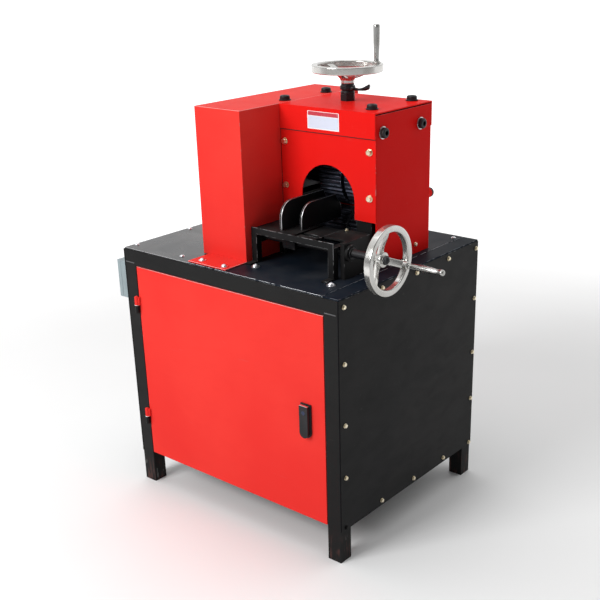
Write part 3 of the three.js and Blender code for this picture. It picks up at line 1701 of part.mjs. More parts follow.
// Split locking nut with a lever that turns up at its tip
function lockNut() {
  const z = [spindleNutTop + seatGap, lockNutTop - seatGap];
  const middle = (z[0] + z[1]) / 2;
  const body = rod(lockNutRadius, 'z', [0, 0], z);
  const curve = new THREE.QuadraticBezierCurve3(
    new THREE.Vector3(spindleRadius + runningGap + leverRadius, 0, middle),
    new THREE.Vector3(leverReach * leverStraightShare, 0, middle),
    new THREE.Vector3(leverReach, 0, middle + leverRise),
  );
  const section = new THREE.Shape(ring(leverRadius, 2 * boltSides));
  const lever = bare(
    new THREE.ExtrudeGeometry(section, { steps: leverSteps, extrudePath: curve, bevelEnabled: false }),
  );
  const bore = rod(spindleRadius + runningGap, 'z', [0, 0], [z[0] - overrun, z[1] + overrun]);
  const slit = block(
    [-lockNutRadius - overrun, 0],
    [-lockSlit / 2, lockSlit / 2],
    [z[0] - overrun, z[1] + overrun],
  );
  const nut = cut(join(body, outward(lever)), bore, slit);
  nut.rotateZ(THREE.MathUtils.degToRad(leverTurn));
  nut.translate(headCentreX, rollerAxisY, 0);
  return nut;
}

function buildPressureScrew() {
  const press = new THREE.Group();
  machine.add(press);
  piece(press, 'spindle_nut', spindleNut(), 'blackSteel');
  piece(press, 'lock_nut', lockNut(), 'blackSteel');
  piece(press, 'pressure_screw', pressureScrew(), 'steel');
  const wheel = new THREE.Group();
  wheel.position.set(headCentreX, rollerAxisY, lockNutTop);
  wheel.rotation.z = THREE.MathUtils.degToRad(topWheelTurn);
  press.add(wheel);
  piece(wheel, 'top_handwheel', handwheel(topWheelRadius, topGripLength), 'chrome');
  piece(wheel, 'top_grip', wheelGrip(topWheelRadius, topGripLength, taperedGripShares), 'chrome');
}

// Infeed stand and its guide

function infeedStand() {
  const parts = [];
  for (const x of [[standLeft, standLeft + postWidth], [standRight - postWidth, standRight]]) {
    const feetZ = [deckZ, deckZ + standFootThickness];
    parts.push(block(x, [standFront, standFront + postDepth], [deckZ, standTop]));
    parts.push(block(x, [standBack - postDepth, standBack], [deckZ, standTop]));
    parts.push(block(x, [standFront - standFootReach, standFront + overrun], feetZ));
    parts.push(block(x, [standFront + overrun, standBack - overrun], [standTop - railHeight, standTop]));
  }
  parts.push(
    block([standLeft, standRight], [standFront, standFront + lipThickness], [lipTop - lipHeight, lipTop]),
  );
  const endX = [standLeft + lipThickness, standLeft + lipThickness + endSupportThickness];
  const endY = [crossScrewY - endSupportHalf, crossScrewY + endSupportHalf];
  const endSupport = block(endX, endY, [crossScrewZ - endSupportHalf, standTop - railHeight / 2]);
  const journal = rod(
    crossJournal + runningGap,
    'x',
    [crossScrewY, crossScrewZ],
    [standLeft - overrun, endX[1] + overrun],
  );
  return cut(join(...parts, endSupport), journal);
}

// Table sheet with the slot that the guide's neck runs in
function infeedTable() {
  const table = block(
    [standLeft, tableSplit],
    [standFront + lipThickness + seatGap, standBack],
    [standTop + seatGap, tableTop],
  );
  const neckMiddle = (nutBlockStart + nutBlockEnd) / 2;
  const slot = block(
    [neckMiddle - nutBlockHalf - guideTravelLeft, neckMiddle + nutBlockHalf + guideTravelRight],
    [crossScrewY - neckHalf - runningGap, crossScrewY + neckHalf + runningGap],
    [standTop - overrun, tableTop + overrun],
  );
  return cut(table, slot);
}

function guideCarriage() {
  const plate = block([guideStart, guideEnd], [guideFront, guideBack], [guideBottom, guideTop]);
  const neckMiddle = (nutBlockStart + nutBlockEnd) / 2;
  const neckReach = nutBlockHalf - overrun;
  const blockTop = standTop - seatGap;
  const neck = block(
    [neckMiddle - neckReach, neckMiddle + neckReach],
    [crossScrewY - neckHalf, crossScrewY + neckHalf],
    [blockTop - overrun, guideBottom + overrun],
  );
  const nut = block(
    [nutBlockStart, nutBlockEnd],
    [crossScrewY - nutBlockHalf, crossScrewY + nutBlockHalf],
    [crossScrewZ - nutBlockDrop, blockTop],
  );
  const thread = rod(
    crossScrewRadius + runningGap,
    'x',
    [crossScrewY, crossScrewZ],
    [nutBlockStart - overrun, nutBlockEnd + overrun],
  );
  return cut(join(plate, neck, nut), thread);
}

// Upright fin: round nose, flat top and a tail hollowed out to clear the upper roller, in (y, z)
function guideFin(x0, front, top) {
  const bottom = guideTop + seatGap;
  const clear = upperRollerRadius + finRollerClearance;
  const shape = new THREE.Shape();
  shape.moveTo(front, bottom);
  shape.lineTo(front, top - finCurve);
  for (let i = 1; i <= finArcSteps; i += 1) {
    const angle = Math.PI - Math.PI / 2 * i / finArcSteps;
    shape.lineTo(
      front + finCurve + finCurve * Math.cos(angle),
      top - finCurve + finCurve * Math.sin(angle),
    );
  }
  const first = Math.asin((upperAxisZ - top) / clear);
  const last = Math.acos((rollerAxisY - finTail) / clear);
  for (let i = 0; i <= finArcSteps; i += 1) {
    const angle = first + (last - first) * i / finArcSteps;
    shape.lineTo(rollerAxisY - clear * Math.cos(angle), upperAxisZ - clear * Math.sin(angle));
  }
  shape.lineTo(finTail, bottom);
  return prism(shape, 'x', [x0, x0 + finThickness]);
}

function sideBracket() {
  const wallX = [bracketRight - bracketWall, bracketRight];
  const top = block(
    [bracketSplit, bracketRight],
    [bracketFront, standBack],
    [standTop + 2 * seatGap + railHeight, bracketTop],
  );
  const wall = block(wallX, [bracketWallFront, standBack], [deckZ, bracketTop]);
  const bossX = [wallX[0] - overrun, wallX[1] + bracketBossReach];
  const boss = rod(bracketBossRadius, 'x', [crossScrewY, crossScrewZ], bossX);
  const bore = rod(
    crossScrewRadius + runningGap,
    'x',
    [crossScrewY, crossScrewZ],
    [bossX[0] - overrun, bossX[1] + overrun],
  );
  return cut(join(top, wall, boss), bore);
}

function crossScrew() {
  const axis = [crossScrewY, crossScrewZ];
  const journalEnd = crossScrewStart + crossJournalLength;
  const journal = rod(crossJournal, 'x', axis, [crossScrewStart, journalEnd + overrun], knobSides);
  const thread = rod(crossScrewRadius, 'x', axis, [journalEnd, sideWheelStart - seatGap], knobSides);
  const collarX = bracketRight - bracketWall - overrun - seatGap;
  const innerCollar = rod(crossCollarRadius, 'x', axis, [collarX - crossCollarWidth, collarX], knobSides);
  const outerX = bracketRight + bracketBossReach + seatGap;
  const outerCollar = rod(crossCollarRadius, 'x', axis, [outerX, outerX + crossCollarWidth], knobSides);
  const wheelEnd = sideWheelStart + wheelHubHeight + seatGap;
  const seat = rod(spindleEnd, 'x', axis, [sideWheelStart - overrun, wheelEnd + overrun], knobSides);
  const nut = prism(ring(endNutRadius, boltSides, axis), 'x', [wheelEnd, wheelEnd + endNutHeight]);
  return join(journal, thread, innerCollar, outerCollar, seat, nut);
}

function buildInfeed() {
  const infeed = new THREE.Group();
  machine.add(infeed);
  piece(infeed, 'infeed_stand', infeedStand(), 'blackPaint');
  piece(infeed, 'infeed_table', infeedTable(), 'blackPaint');
  piece(infeed, 'guide_carriage', guideCarriage(), 'blackPaint');
  piece(infeed, 'left_guide_fin', guideFin(leftFinStart, leftFinFront, leftFinTop), 'blackPaint');
  piece(infeed, 'right_guide_fin', guideFin(rightFinStart, rightFinFront, rightFinTop), 'blackPaint');
  piece(infeed, 'screw_bracket', sideBracket(), 'blackPaint');
  piece(infeed, 'cross_screw', crossScrew(), 'steel');
  const wheel = new THREE.Group();
  wheel.position.set(sideWheelStart, crossScrewY, crossScrewZ);
  wheel.quaternion.setFromRotationMatrix(alongX);
  infeed.add(wheel);
  const turnedWheel = new THREE.Group();
  turnedWheel.rotation.z = THREE.MathUtils.degToRad(sideWheelTurn);
  wheel.add(turnedWheel);
  piece(turnedWheel, 'side_handwheel', handwheel(sideWheelRadius, sideGripLength), 'chrome');
  piece(turnedWheel, 'side_grip', wheelGrip(sideWheelRadius, sideGripLength, bulbedGripShares), 'chrome');
}

buildCabinet();
buildDoor();
buildControlBox();
buildHead();
buildRollers();
buildDrive();
buildMotor();
buildPressureScrew();
buildInfeed();

export default machine;
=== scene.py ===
"""Looks of a cable stripping machine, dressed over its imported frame.

The classes work in the machine's own millimetres: x runs right from the cabinet's left side, y runs back
from its front and z runs up from the floor. A finished piece becomes metres in the frame's axes when it is
set on its body.
"""

import json
import logging
import math
from dataclasses import dataclass
from enum import Enum
from typing import Iterable, Optional, Sequence, Union

import bmesh
import bpy
from mathutils import Matrix, Vector


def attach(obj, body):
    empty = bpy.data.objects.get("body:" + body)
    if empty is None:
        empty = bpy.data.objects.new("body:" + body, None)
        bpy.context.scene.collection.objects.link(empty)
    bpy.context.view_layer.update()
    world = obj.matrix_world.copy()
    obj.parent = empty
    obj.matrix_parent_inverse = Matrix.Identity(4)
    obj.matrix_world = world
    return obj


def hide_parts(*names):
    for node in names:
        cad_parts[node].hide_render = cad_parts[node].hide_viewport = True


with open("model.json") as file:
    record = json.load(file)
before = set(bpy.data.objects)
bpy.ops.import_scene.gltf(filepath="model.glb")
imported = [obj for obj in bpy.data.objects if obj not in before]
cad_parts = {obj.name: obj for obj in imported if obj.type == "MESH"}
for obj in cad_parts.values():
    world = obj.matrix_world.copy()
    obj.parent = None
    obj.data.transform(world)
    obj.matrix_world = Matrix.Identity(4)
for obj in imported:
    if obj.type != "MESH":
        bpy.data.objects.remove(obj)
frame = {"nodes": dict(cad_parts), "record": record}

log = logging.getLogger("cable_stripper")

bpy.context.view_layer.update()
MACHINE_ORIGIN = Vector((390.65, 294.2, 0.0))
TO_METRES = Matrix.Scale(0.001, 4) @ Matrix.Translation(-MACHINE_ORIGIN)
TO_MACHINE = Matrix.Translation(MACHINE_ORIGIN) @ Matrix.Scale(1000.0, 4)
OWNER = {node: body for body, nodes in frame["record"]["behaviour"]["bodies"].items() for node in nodes}

# Angles between faces, then areas and lengths in millimetres
STEEP = math.radians(42.0)
GENTLE = math.radians(9.0)
ROUNDED_FROM = math.radians(40.0)
FLAT_WITHIN = math.radians(0.4)
BROAD_AREA = 2500.0
MERGED_WITHIN = 0.004
SEAM_WITHIN = 0.001

Colour = tuple[float, float, float]
Point = tuple[float, float, float]
Pair = tuple[float, float]
Profile = Sequence[Sequence[float]]
Value = Union[float, "Signal"]
Tint = Union[Colour, "Signal"]
EVEN: Point = (1.0, 1.0, 1.0)

# Sockets of a Mix node that mixes colours
MIX_SHARE, MIX_LOW, MIX_HIGH, MIX_RESULT = 0, 6, 7, 2


# Shader maths


class Signal:
    """One output socket of a finish, whose arithmetic adds Math nodes."""

    def __init__(self, graph: "Graph", socket: bpy.types.NodeSocket) -> None:
        """Keeps the graph and its socket."""
        self.graph = graph
        self.socket = socket

    def _math(self, operation: str, first: Value, second: Value) -> "Signal":
        """One Math node on two values."""
        return self.graph.node("ShaderNodeMath", {"operation": operation}, {0: first, 1: second})

    def __add__(self, other: Value) -> "Signal":
        """Sum."""
        return self._math("ADD", self, other)

    __radd__ = __add__

    def __sub__(self, other: Value) -> "Signal":
        """Difference."""
        return self._math("SUBTRACT", self, other)

    def __rsub__(self, other: Value) -> "Signal":
        """Difference from a plain number."""
        return self._math("SUBTRACT", other, self)

    def __mul__(self, other: Value) -> "Signal":
        """Product."""
        return self._math("MULTIPLY", self, other)

    __rmul__ = __mul__

    def __pow__(self, other: Value) -> "Signal":
        """Power."""
        return self._math("POWER", self, other)

    def above(self, other: Value) -> "Signal":
        """1 where the signal is greater, else 0."""
        return self._math("GREATER_THAN", self, other)

    def band(self, low: float, high: float) -> "Signal":
        """Smooth step from 0 at low to 1 at high."""
        return self.graph.node(
            "ShaderNodeMapRange",
            {"interpolation_type": "SMOOTHSTEP", "clamp": True},
            {"Value": self, "From Min": low, "From Max": high, "To Min": 0.0, "To Max": 1.0},
        )

    def between(self, low: float, high: float) -> "Signal":
        """Spreads 0..1 evenly over low..high."""
        return self * (high - low) + low


class Graph:
    """Node tree of one material or of the sky."""

    def __init__(self, owner: Union[bpy.types.Material, bpy.types.World]) -> None:
        """Empties the owner's tree.

        Args:
            owner: The material or the world.
        """
        self.owner = owner
        owner.use_nodes = True
        self.tree = owner.node_tree
        self.tree.nodes.clear()

    def node(
        self,
        kind: str,
        settings: Optional[dict[str, object]] = None,
        inputs: Optional[dict[Union[int, str], object]] = None,
        output: Union[int, str, None] = 0,
    ) -> Optional[Signal]:
        """Adds any node.

        Args:
            kind: The node's type.
            settings: Its settings, set before the sockets.
            inputs: Its sockets' values or links, by index or name.
            output: The output that the signal stands for, if the node has one.

        Returns:
            The signal of that output.
        """
        made = self.tree.nodes.new(kind)
        for key, value in (settings or {}).items():
            setattr(made, key, value)
        for key, value in (inputs or {}).items():
            if isinstance(value, Signal):
                self.tree.links.new(value.socket, made.inputs[key])
            else:
                made.inputs[key].default_value = value
        return None if output is None else Signal(self, made.outputs[output])

    def place(self, stretch: Point = EVEN) -> Signal:
        """Object coordinates in metres.

        Args:
            stretch: How many times they grow along each axis.

        Returns:
            The coordinates.
        """
        where = self.node("ShaderNodeTexCoord", output="Object")
        if stretch == EVEN:
            return where
        return self.node("ShaderNodeMapping", inputs={"Vector": where, "Scale": stretch})

    def noise(self, scale: float, detail: float = 2.0, stretch: Point = EVEN, warp: float = 0.0) -> Signal:
        """Noise that follows the piece.

        Args:
            scale: Features for each metre.
            detail: Octaves.
            stretch: Scale along each axis.
            warp: Distortion.

        Returns:
            The noise, 0..1.
        """
        return self.node(
            "ShaderNodeTexNoise",
            inputs={"Vector": self.place(stretch), "Scale": scale, "Detail": detail, "Distortion": warp},
        )

    def axes(self, where: Signal) -> tuple[Signal, ...]:
        """The x, y and z of a vector."""
        outputs = self.node("ShaderNodeSeparateXYZ", inputs={0: where}).socket.node.outputs
        return tuple(Signal(self, socket) for socket in outputs)

    def edge(self) -> Signal:
        """1 on the rounded edges, 0 elsewhere."""
        return self.node(
            "ShaderNodeAttribute", {"attribute_type": "GEOMETRY", "attribute_name": "edge"}, output="Fac"
        )

    def upward(self, low: float = 0.75, high: float = 0.95) -> Signal:
        """1 on faces that look up, 0 on the others."""
        normal = self.node("ShaderNodeNewGeometry", output="Normal")
        return self.axes(normal)[2].band(low, high)

    def height(self) -> Signal:
        """Height over the floor, in metres."""
        return self.axes(self.place())[2]

    def blend(self, share: Value, low: Tint, high: Tint) -> Signal:
        """Mixes two colours.

        Args:
            share: How much of the second, 0..1.
            low: The first colour.
            high: The second colour.

        Returns:
            The mixed colour.
        """
        first, second = ((*tint, 1.0) if isinstance(tint, tuple) else tint for tint in (low, high))
        inputs = {MIX_SHARE: share, MIX_LOW: first, MIX_HIGH: second}
        return self.node("ShaderNodeMix", {"data_type": "RGBA"}, inputs, MIX_RESULT)

    def bump(self, height: Signal, depth: float) -> Signal:
        """Relief of so many metres."""
        inputs = {"Height": height, "Distance": depth, "Strength": 1.0}
        return self.node("ShaderNodeBump", inputs=inputs, output="Normal")

    def surface(self, **sockets: object) -> bpy.types.Material:
        """Ends the tree in a Principled shader.

        Args:
            sockets: Its sockets by name, with _ for a blank.

        Returns:
            The finished material.
        """
        inputs = {key.replace("_", " "): value for key, value in sockets.items()}
        for key, value in inputs.items():
            if isinstance(value, tuple) and len(value) == 3:
                inputs[key] = (*value, 1.0)
        shader = self.node("ShaderNodeBsdfPrincipled", inputs=inputs)
        self.node("ShaderNodeOutputMaterial", inputs={"Surface": shader}, output=None)
        return self.owner


# Finishes


@dataclass(frozen=True)
class Finish:
    """A coat or a bare material, made once and shared by its pieces."""

    name: str
    slot: str

    def material(self) -> bpy.types.Material:
        """The material of this finish."""
        return bpy.data.materials.get(self.name) or self.mixed(Graph(bpy.data.materials.new(self.name)))

    def mixed(self, graph: Graph) -> bpy.types.Material:
        """Fills the graph with this finish.

        Args:
            graph: The material's empty tree.

        Returns:
            The finished material.
        """
        raise NotImplementedError(self.name)


@dataclass(frozen=True)
class Enamel(Finish):
    """Sprayed enamel with orange peel, handling marks, dust on top faces, edges rubbed thin and a painted
    highlight on the rounded edges that look up.
    """

    colour: Colour
    deep: Colour
    bare: Colour
    roughness: float = 0.34
    gloss: float = 0.3
    coat: float = 0.08
    peel: float = 0.00006
    wave: float = 0.0004
    rub: float = 0.5
    worn: float = 0.57
    # Strength of the painted highlight: rounded edges that look up are mixed towards a paler tint.
    painted_edge_highlight: float = 0.0
    dust: float = 0.12
    speckle: float = 0.1
    rust_height: float = 0.0
    dust_colour: Colour = (0.42, 0.39, 0.36)
    rust_colour: Colour = (0.15, 0.06, 0.05)
    knock_colour: Colour = (0.20, 0.21, 0.20)

    def rusted(self, graph: Graph, colour: Signal) -> Signal:
        """Adds streaks of rust and knocks near the floor.

        Args:
            graph: The material's tree.
            colour: The colour so far.

        Returns:
            The colour with them.
        """
        streak = graph.noise(110.0, 5.0, (1.0, 1.0, 0.16), 0.5).band(0.50, 0.66)
        low = 1.0 - graph.height().band(self.rust_height * 0.3, self.rust_height)
        colour = graph.blend(streak * low * 0.38, colour, self.rust_colour)
        knock = graph.noise(75.0, 3.0, (1.0, 1.0, 0.4)).band(0.66, 0.72) * low
        return graph.blend(knock * 0.5, colour, self.knock_colour)

    def mixed(self, graph: Graph) -> bpy.types.Material:
        """Fills the graph with this finish.

        Args:
            graph: The material's empty tree.

        Returns:
            The finished material.
        """
        cloud = graph.noise(2.6, 3.0)
        smear = graph.noise(14.0, 5.0, (1.0, 1.0, 2.2), 0.6)
        grain = graph.noise(520.0, 2.0)
        fleck = graph.noise(190.0, 3.0).band(0.66, 0.74) * self.speckle
        dust = graph.upward() * graph.noise(9.0, 6.0).band(0.35, 0.75) * self.dust
        rubbed = graph.edge() * graph.noise(48.0, 4.0, warp=0.8).band(self.worn, self.worn + 0.07) * self.rub
        scratch = graph.noise(60.0, 3.0, (0.12, 1.0, 1.6), 0.3).band(0.70, 0.73)
        scratch = scratch * smear.band(0.45, 0.6) * 0.12
        # Paler tint of the colour, used for the painted highlight on rounded edges.
        pale = tuple(0.42 + 0.58 * value for value in self.colour)
        colour = graph.blend(cloud.band(0.3, 0.7), self.colour, self.deep)
        colour = graph.blend(smear.band(0.45, 0.75) * 0.25, colour, self.deep)
        colour = graph.blend(dust + fleck * 0.3 + scratch * 0.3, colour, self.dust_colour)
        # Painted highlight: rounded edges that look up are lightened towards the pale tint.
        colour = graph.blend(graph.edge() * graph.upward(0.05, 0.35) * self.painted_edge_highlight, colour, pale)
        if self.rust_height:
            colour = self.rusted(graph, colour)
        rough = smear.between(self.roughness - 0.09, self.roughness + 0.13)
        return graph.surface(
            Base_Color=graph.blend(rubbed, colour, self.bare),
            Roughness=rough + dust * 0.4 + fleck + scratch,
            Metallic=rubbed,
            Normal=graph.bump(grain + cloud * (self.wave / self.peel), self.peel),
            Specular_IOR_Level=self.gloss,
            Coat_Weight=self.coat,
            Coat_Roughness=0.12,
        )


@dataclass(frozen=True)
class Metal(Finish):
    """Bare or plated metal with tool marks, tarnish and handling."""

    colour: Colour
    tarnish: Colour
    roughness: float = 0.25
    stain: float = 0.3
    marks: float = 0.00002
    grain: Point = EVEN
    grain_scale: float = 260.0
    metallic: float = 1.0
    bright: Colour = (0.75, 0.75, 0.76)
    rub: float = 0.0
    uneven: float = 0.5

    def mixed(self, graph: Graph) -> bpy.types.Material:
        """Fills the graph with this finish.

        Args:
            graph: The material's empty tree.

        Returns:
            The finished material.
        """
        cloud = graph.noise(22.0, 5.0, warp=0.4)
        prints = graph.noise(70.0, 3.0)
        lines = graph.noise(self.grain_scale, 2.0, self.grain)
        rubbed = graph.edge() * graph.noise(90.0, 3.0).band(0.42, 0.56) * self.rub
        colour = graph.blend(cloud.band(0.45, 0.75) * self.stain, self.colour, self.tarnish)
        colour = graph.blend(lines.band(0.55, 0.8) * self.stain * 0.5, colour, self.tarnish)
        colour = graph.blend(rubbed, colour, self.bright)
        spread = self.roughness * self.uneven
        return graph.surface(
            Base_Color=colour,
            Roughness=prints.between(self.roughness - spread, self.roughness + spread) + cloud * 0.06,
            Metallic=self.metallic,
            Normal=graph.bump(lines + cloud * 0.6, self.marks),
        )


@dataclass(frozen=True)
class Moulded(Finish):
    """Moulded plastic or rubber with a fine grain."""

    colour: Colour
    faded: Colour
    roughness: float = 0.42
    gloss: float = 0.3
    grain: float = 0.00005
    grain_scale: float = 900.0
    dust: float = 0.2
    barrel: Optional[Pair] = None
    barrel_radius: float = 0.0064
    barrel_rim: float = 0.0003
    barrel_groove: Pair = (0.0014, 0.0010)
    barrel_slot: Pair = (0.0007, 0.0034)
    barrel_rise: float = 0.0005
    barrel_colour: Colour = (0.055, 0.07, 0.13)
    dust_colour: Colour = (0.4, 0.38, 0.35)

    def lock(self, graph: Graph) -> tuple[Signal, Signal]:
        """Draws a lock barrel on the piece's front.

        Args:
            graph: The material's tree.

        Returns:
            Its bright face, 0..1, and its height.
        """
        x, _, z = graph.axes(graph.place())
        side, rise = x - self.barrel[0], z - self.barrel[1]
        reach = (side * side + rise * rise) ** 0.5
        outer, inner = (self.barrel_radius - inset for inset in self.barrel_groove)
        disc = 1.0 - reach.band(self.barrel_radius - self.barrel_rim, self.barrel_radius)
        groove = reach.band(outer, inner) * disc
        half_wide, half_high = self.barrel_slot
        slot = (1.0 - (side * side).above(half_wide**2)) * (1.0 - (rise * rise).above(half_high**2))
        return (disc - groove) * (1.0 - slot), disc - groove - slot * 1.5

    def mixed(self, graph: Graph) -> bpy.types.Material:
        """Fills the graph with this finish.

        Args:
            graph: The material's empty tree.

        Returns:
            The finished material.
        """
        cloud = graph.noise(12.0, 4.0)
        grain = graph.noise(self.grain_scale, 2.0)
        dust = graph.upward() * graph.noise(60.0, 5.0).band(0.4, 0.8) * self.dust
        worn = graph.edge() * graph.noise(120.0, 3.0).band(0.45, 0.65) * 0.35
        colour = graph.blend(cloud.band(0.35, 0.7), self.colour, self.faded)
        colour = graph.blend(worn, colour, self.faded)
        colour = graph.blend(dust, colour, self.dust_colour)
        relief, metal = grain + cloud, 0.0
        if self.barrel:
            metal, rise = self.lock(graph)
            colour = graph.blend(metal, colour, self.barrel_colour)
            relief = relief + rise * (self.barrel_rise / self.grain)
        return graph.surface(
            Base_Color=colour,
            Roughness=cloud.between(self.roughness - 0.06, self.roughness + 0.1) + dust * 0.3,
            Metallic=metal,
            Normal=graph.bump(relief, self.grain),
            Specular_IOR_Level=self.gloss,
        )


@dataclass(frozen=True)
class FilmLabel(Finish):
    """Printed film: a pale field under a plain coloured band, both inside a white margin."""

    field: Colour
    band: Colour
    low: Pair
    high: Pair
    split: float
    margin: float = 0.0022
    paper: Colour = (0.88, 0.87, 0.88)
    scuffed: Colour = (0.5, 0.48, 0.45)

    def inside(self, graph: Graph, low: Pair, high: Pair) -> Signal:
        """Picks out a rectangle on the film's front.

        Args:
            graph: The material's tree.
            low: Its lower left corner, in metres.
            high: Its upper right corner.

        Returns:
            1 inside it, else 0.
        """
        x, _, z = graph.axes(graph.place())
        return x.above(low[0]) * (1.0 - x.above(high[0])) * z.above(low[1]) * (1.0 - z.above(high[1]))

    def mixed(self, graph: Graph) -> bpy.types.Material:
        """Fills the graph with this finish.

        Args:
            graph: The material's empty tree.

        Returns:
            The finished material.
        """
        left, right = self.low[0] + self.margin, self.high[0] - self.margin
        field = self.inside(graph, (left, self.low[1] + self.margin), (right, self.split - self.margin / 2))
        band = self.inside(graph, (left, self.split), (right, self.high[1] - self.margin / 2))
        scuffs = graph.noise(160.0, 4.0).band(0.55, 0.75) * 0.18
        soft = graph.noise(30.0, 3.0)
        colour = graph.blend(field, self.paper, self.field)
        colour = graph.blend(band, colour, self.band)
        return graph.surface(
            Base_Color=graph.blend(scuffs + soft * 0.08, colour, self.scuffed),
            Roughness=soft.between(0.25, 0.45),
            Normal=graph.bump(soft, 0.0004),
        )


# Red of the door, the guard and the hinge caps: the paint's colour with painted sheen, a lighter and whiter
# tone that stands in for reflection.
RED_PAINTED_SHEEN = Enamel(
    "red_enamel_painted_sheen", "red_paint", (0.79, 0.045, 0.035), (0.73, 0.031, 0.026), (0.42, 0.30, 0.28),
    roughness=0.36, gloss=0.004, coat=0.05, painted_edge_highlight=0.9, dust=0.03,
)
# The same red paint without the painted sheen, for the head's sheets.
HEAD_RED = Enamel(
    "head_red_enamel", "red_paint", (0.80, 0.018, 0.014), (0.75, 0.011, 0.009), (0.42, 0.30, 0.28),
    roughness=0.36, gloss=0.004, coat=0.05, painted_edge_highlight=0.9, dust=0.03,
)
# Red of the right cover: the head's red paint made darker and more matt as painted shade of the side that
# faces away from the lamps.
RED_PAINTED_SHADE = Enamel(
    "red_enamel_painted_shade", "red_paint", (0.72, 0.008, 0.006), (0.64, 0.006, 0.005), (0.42, 0.30, 0.28),
    roughness=0.46, gloss=0.03, coat=0.0, painted_edge_highlight=0.5, rub=0.2, dust=0.03,
)
FRAME_BLACK = Enamel(
    "frame_enamel", "black_paint", (0.0110, 0.0109, 0.0108), (0.0072, 0.0072, 0.0074), (0.26, 0.26, 0.27),
    roughness=0.46, gloss=0.11, coat=0.0, rub=0.4, dust=0.08, rust_height=0.085,
)
BLACK = Enamel(
    "black_enamel", "black_paint", (0.0125, 0.012, 0.012), (0.008, 0.008, 0.0085), (0.30, 0.30, 0.31),
    roughness=0.46, gloss=0.11, coat=0.0, dust=0.08,
)
STAND_BLACK = Enamel(
    "stand_enamel", "black_paint", (0.0105, 0.0105, 0.011), (0.0070, 0.0070, 0.0075), (0.40, 0.41, 0.42),
    roughness=0.44, gloss=0.11, coat=0.0, rub=0.55, worn=0.44, dust=0.06,
)
WORN_BLACK = Enamel(
    "worn_black_enamel", "black_paint", (0.010, 0.010, 0.011), (0.006, 0.006, 0.007), (0.78, 0.78, 0.80),
    roughness=0.36, gloss=0.22, coat=0.0, rub=1.0, worn=0.30,
)
DECK = Enamel(
    "black_deck_plate", "black_paint", (0.010, 0.011, 0.014), (0.006, 0.007, 0.010), (0.72, 0.72, 0.74),
    roughness=0.26, gloss=0.45, coat=0.12, wave=0.0008, rub=1.0, worn=0.36, dust=0.08, speckle=0.2,
)
# The blue tint of the base plate and the trim is partly painted reflection of a bluish sky over their
# near-black paint.
BASE = Enamel(
    "black_base_plate", "black_paint", (0.0095, 0.0145, 0.0235), (0.0055, 0.0092, 0.016), (0.66, 0.67, 0.70),
    roughness=0.40, gloss=0.045, coat=0.0, wave=0.0008, rub=0.9, worn=0.40, dust=0.05, speckle=0.12,
)
TRIM = Enamel(
    "black_trim", "black_paint", (0.0075, 0.0125, 0.021), (0.004, 0.008, 0.014), (0.30, 0.32, 0.36),
    roughness=0.46, gloss=0.04, coat=0.0, rub=0.35, worn=0.50, dust=0.03,
)
OILED = Enamel(
    "oiled_black_enamel", "black_paint", (0.005, 0.005, 0.006), (0.003, 0.003, 0.004), (0.20, 0.20, 0.21),
    roughness=0.5, gloss=0.08, coat=0.0, dust=0.05,
)
CHROME = Metal(
    "chrome_plate", "chrome", (0.60, 0.595, 0.575), (0.36, 0.34, 0.30), roughness=0.15, stain=0.45,
    marks=0.00003, grain_scale=48.0, uneven=0.15, metallic=0.84,
)
GRIP_CHROME = Metal(
    "grip_plate", "chrome", (0.46, 0.46, 0.45), (0.26, 0.25, 0.22), roughness=0.22, stain=0.5, marks=0.0001,
    grain=(1.0, 1.0, 0.4), grain_scale=90.0,
)
WHITE_ZINC = Metal(
    "white_zinc", "bare_steel", (0.86, 0.87, 0.90), (0.60, 0.60, 0.62), roughness=0.3, stain=0.4,
)
ZINC = Metal(
    "yellow_zinc", "bare_steel", (0.86, 0.78, 0.60), (0.62, 0.50, 0.28), roughness=0.28, stain=0.6,
)
STEEL = Metal(
    "ground_steel", "bare_steel", (0.58, 0.58, 0.59), (0.36, 0.32, 0.28), roughness=0.26, marks=0.00004,
)
TURNED = Metal(
    "turned_steel", "bare_steel", (0.60, 0.60, 0.61), (0.34, 0.31, 0.28), roughness=0.24,
    grain=(1.0, 0.02, 0.02), grain_scale=700.0, marks=0.00008,
)
DARK_STEEL = Metal(
    "blackened_steel", "black_steel", (0.018, 0.019, 0.022), (0.045, 0.038, 0.032), roughness=0.36, stain=0.4,
    metallic=0.55, marks=0.00005, rub=0.45, bright=(0.35, 0.36, 0.38),
)
WELD = Metal(
    "painted_weld", "black_paint", (0.085, 0.088, 0.092), (0.035, 0.036, 0.038), roughness=0.4, stain=0.7,
    metallic=0.15, marks=0.0003,
)
# Steel of the lower roller and its clamp: the roller steel made darker as painted shade of the parts deep in
# the arch.
ROLLER_STEEL_PAINTED_SHADE = Metal(
    "roller_steel_painted_shade", "black_steel", (0.018, 0.020, 0.028), (0.012, 0.012, 0.015), roughness=0.34,
    stain=0.6, metallic=0.8, marks=0.00006, rub=0.45, bright=(0.16, 0.18, 0.23),
)
SCREW_STEEL = Metal(
    "oiled_screw_steel", "black_steel", (0.008, 0.008, 0.010), (0.020, 0.018, 0.016), roughness=0.42,
    stain=0.5, metallic=0.35, marks=0.00005, rub=0.25, bright=(0.20, 0.21, 0.22),
)
ROLLER_STEEL = Metal(
    "worked_roller_steel", "black_steel", (0.040, 0.047, 0.068), (0.022, 0.022, 0.027), roughness=0.3,
    stain=0.6, metallic=0.85, marks=0.00006, rub=0.8, bright=(0.30, 0.34, 0.46),
)
CAST = Metal(
    "painted_casting", "cast_iron", (0.055, 0.085, 0.10), (0.035, 0.05, 0.055), roughness=0.5, stain=0.6,
    metallic=0.15, marks=0.0004, grain_scale=180.0, rub=0.5,
)
BLACK_PLASTIC = Moulded(
    "black_moulding", "black_plastic", (0.009, 0.009, 0.010), (0.020, 0.020, 0.022), gloss=0.2,
)
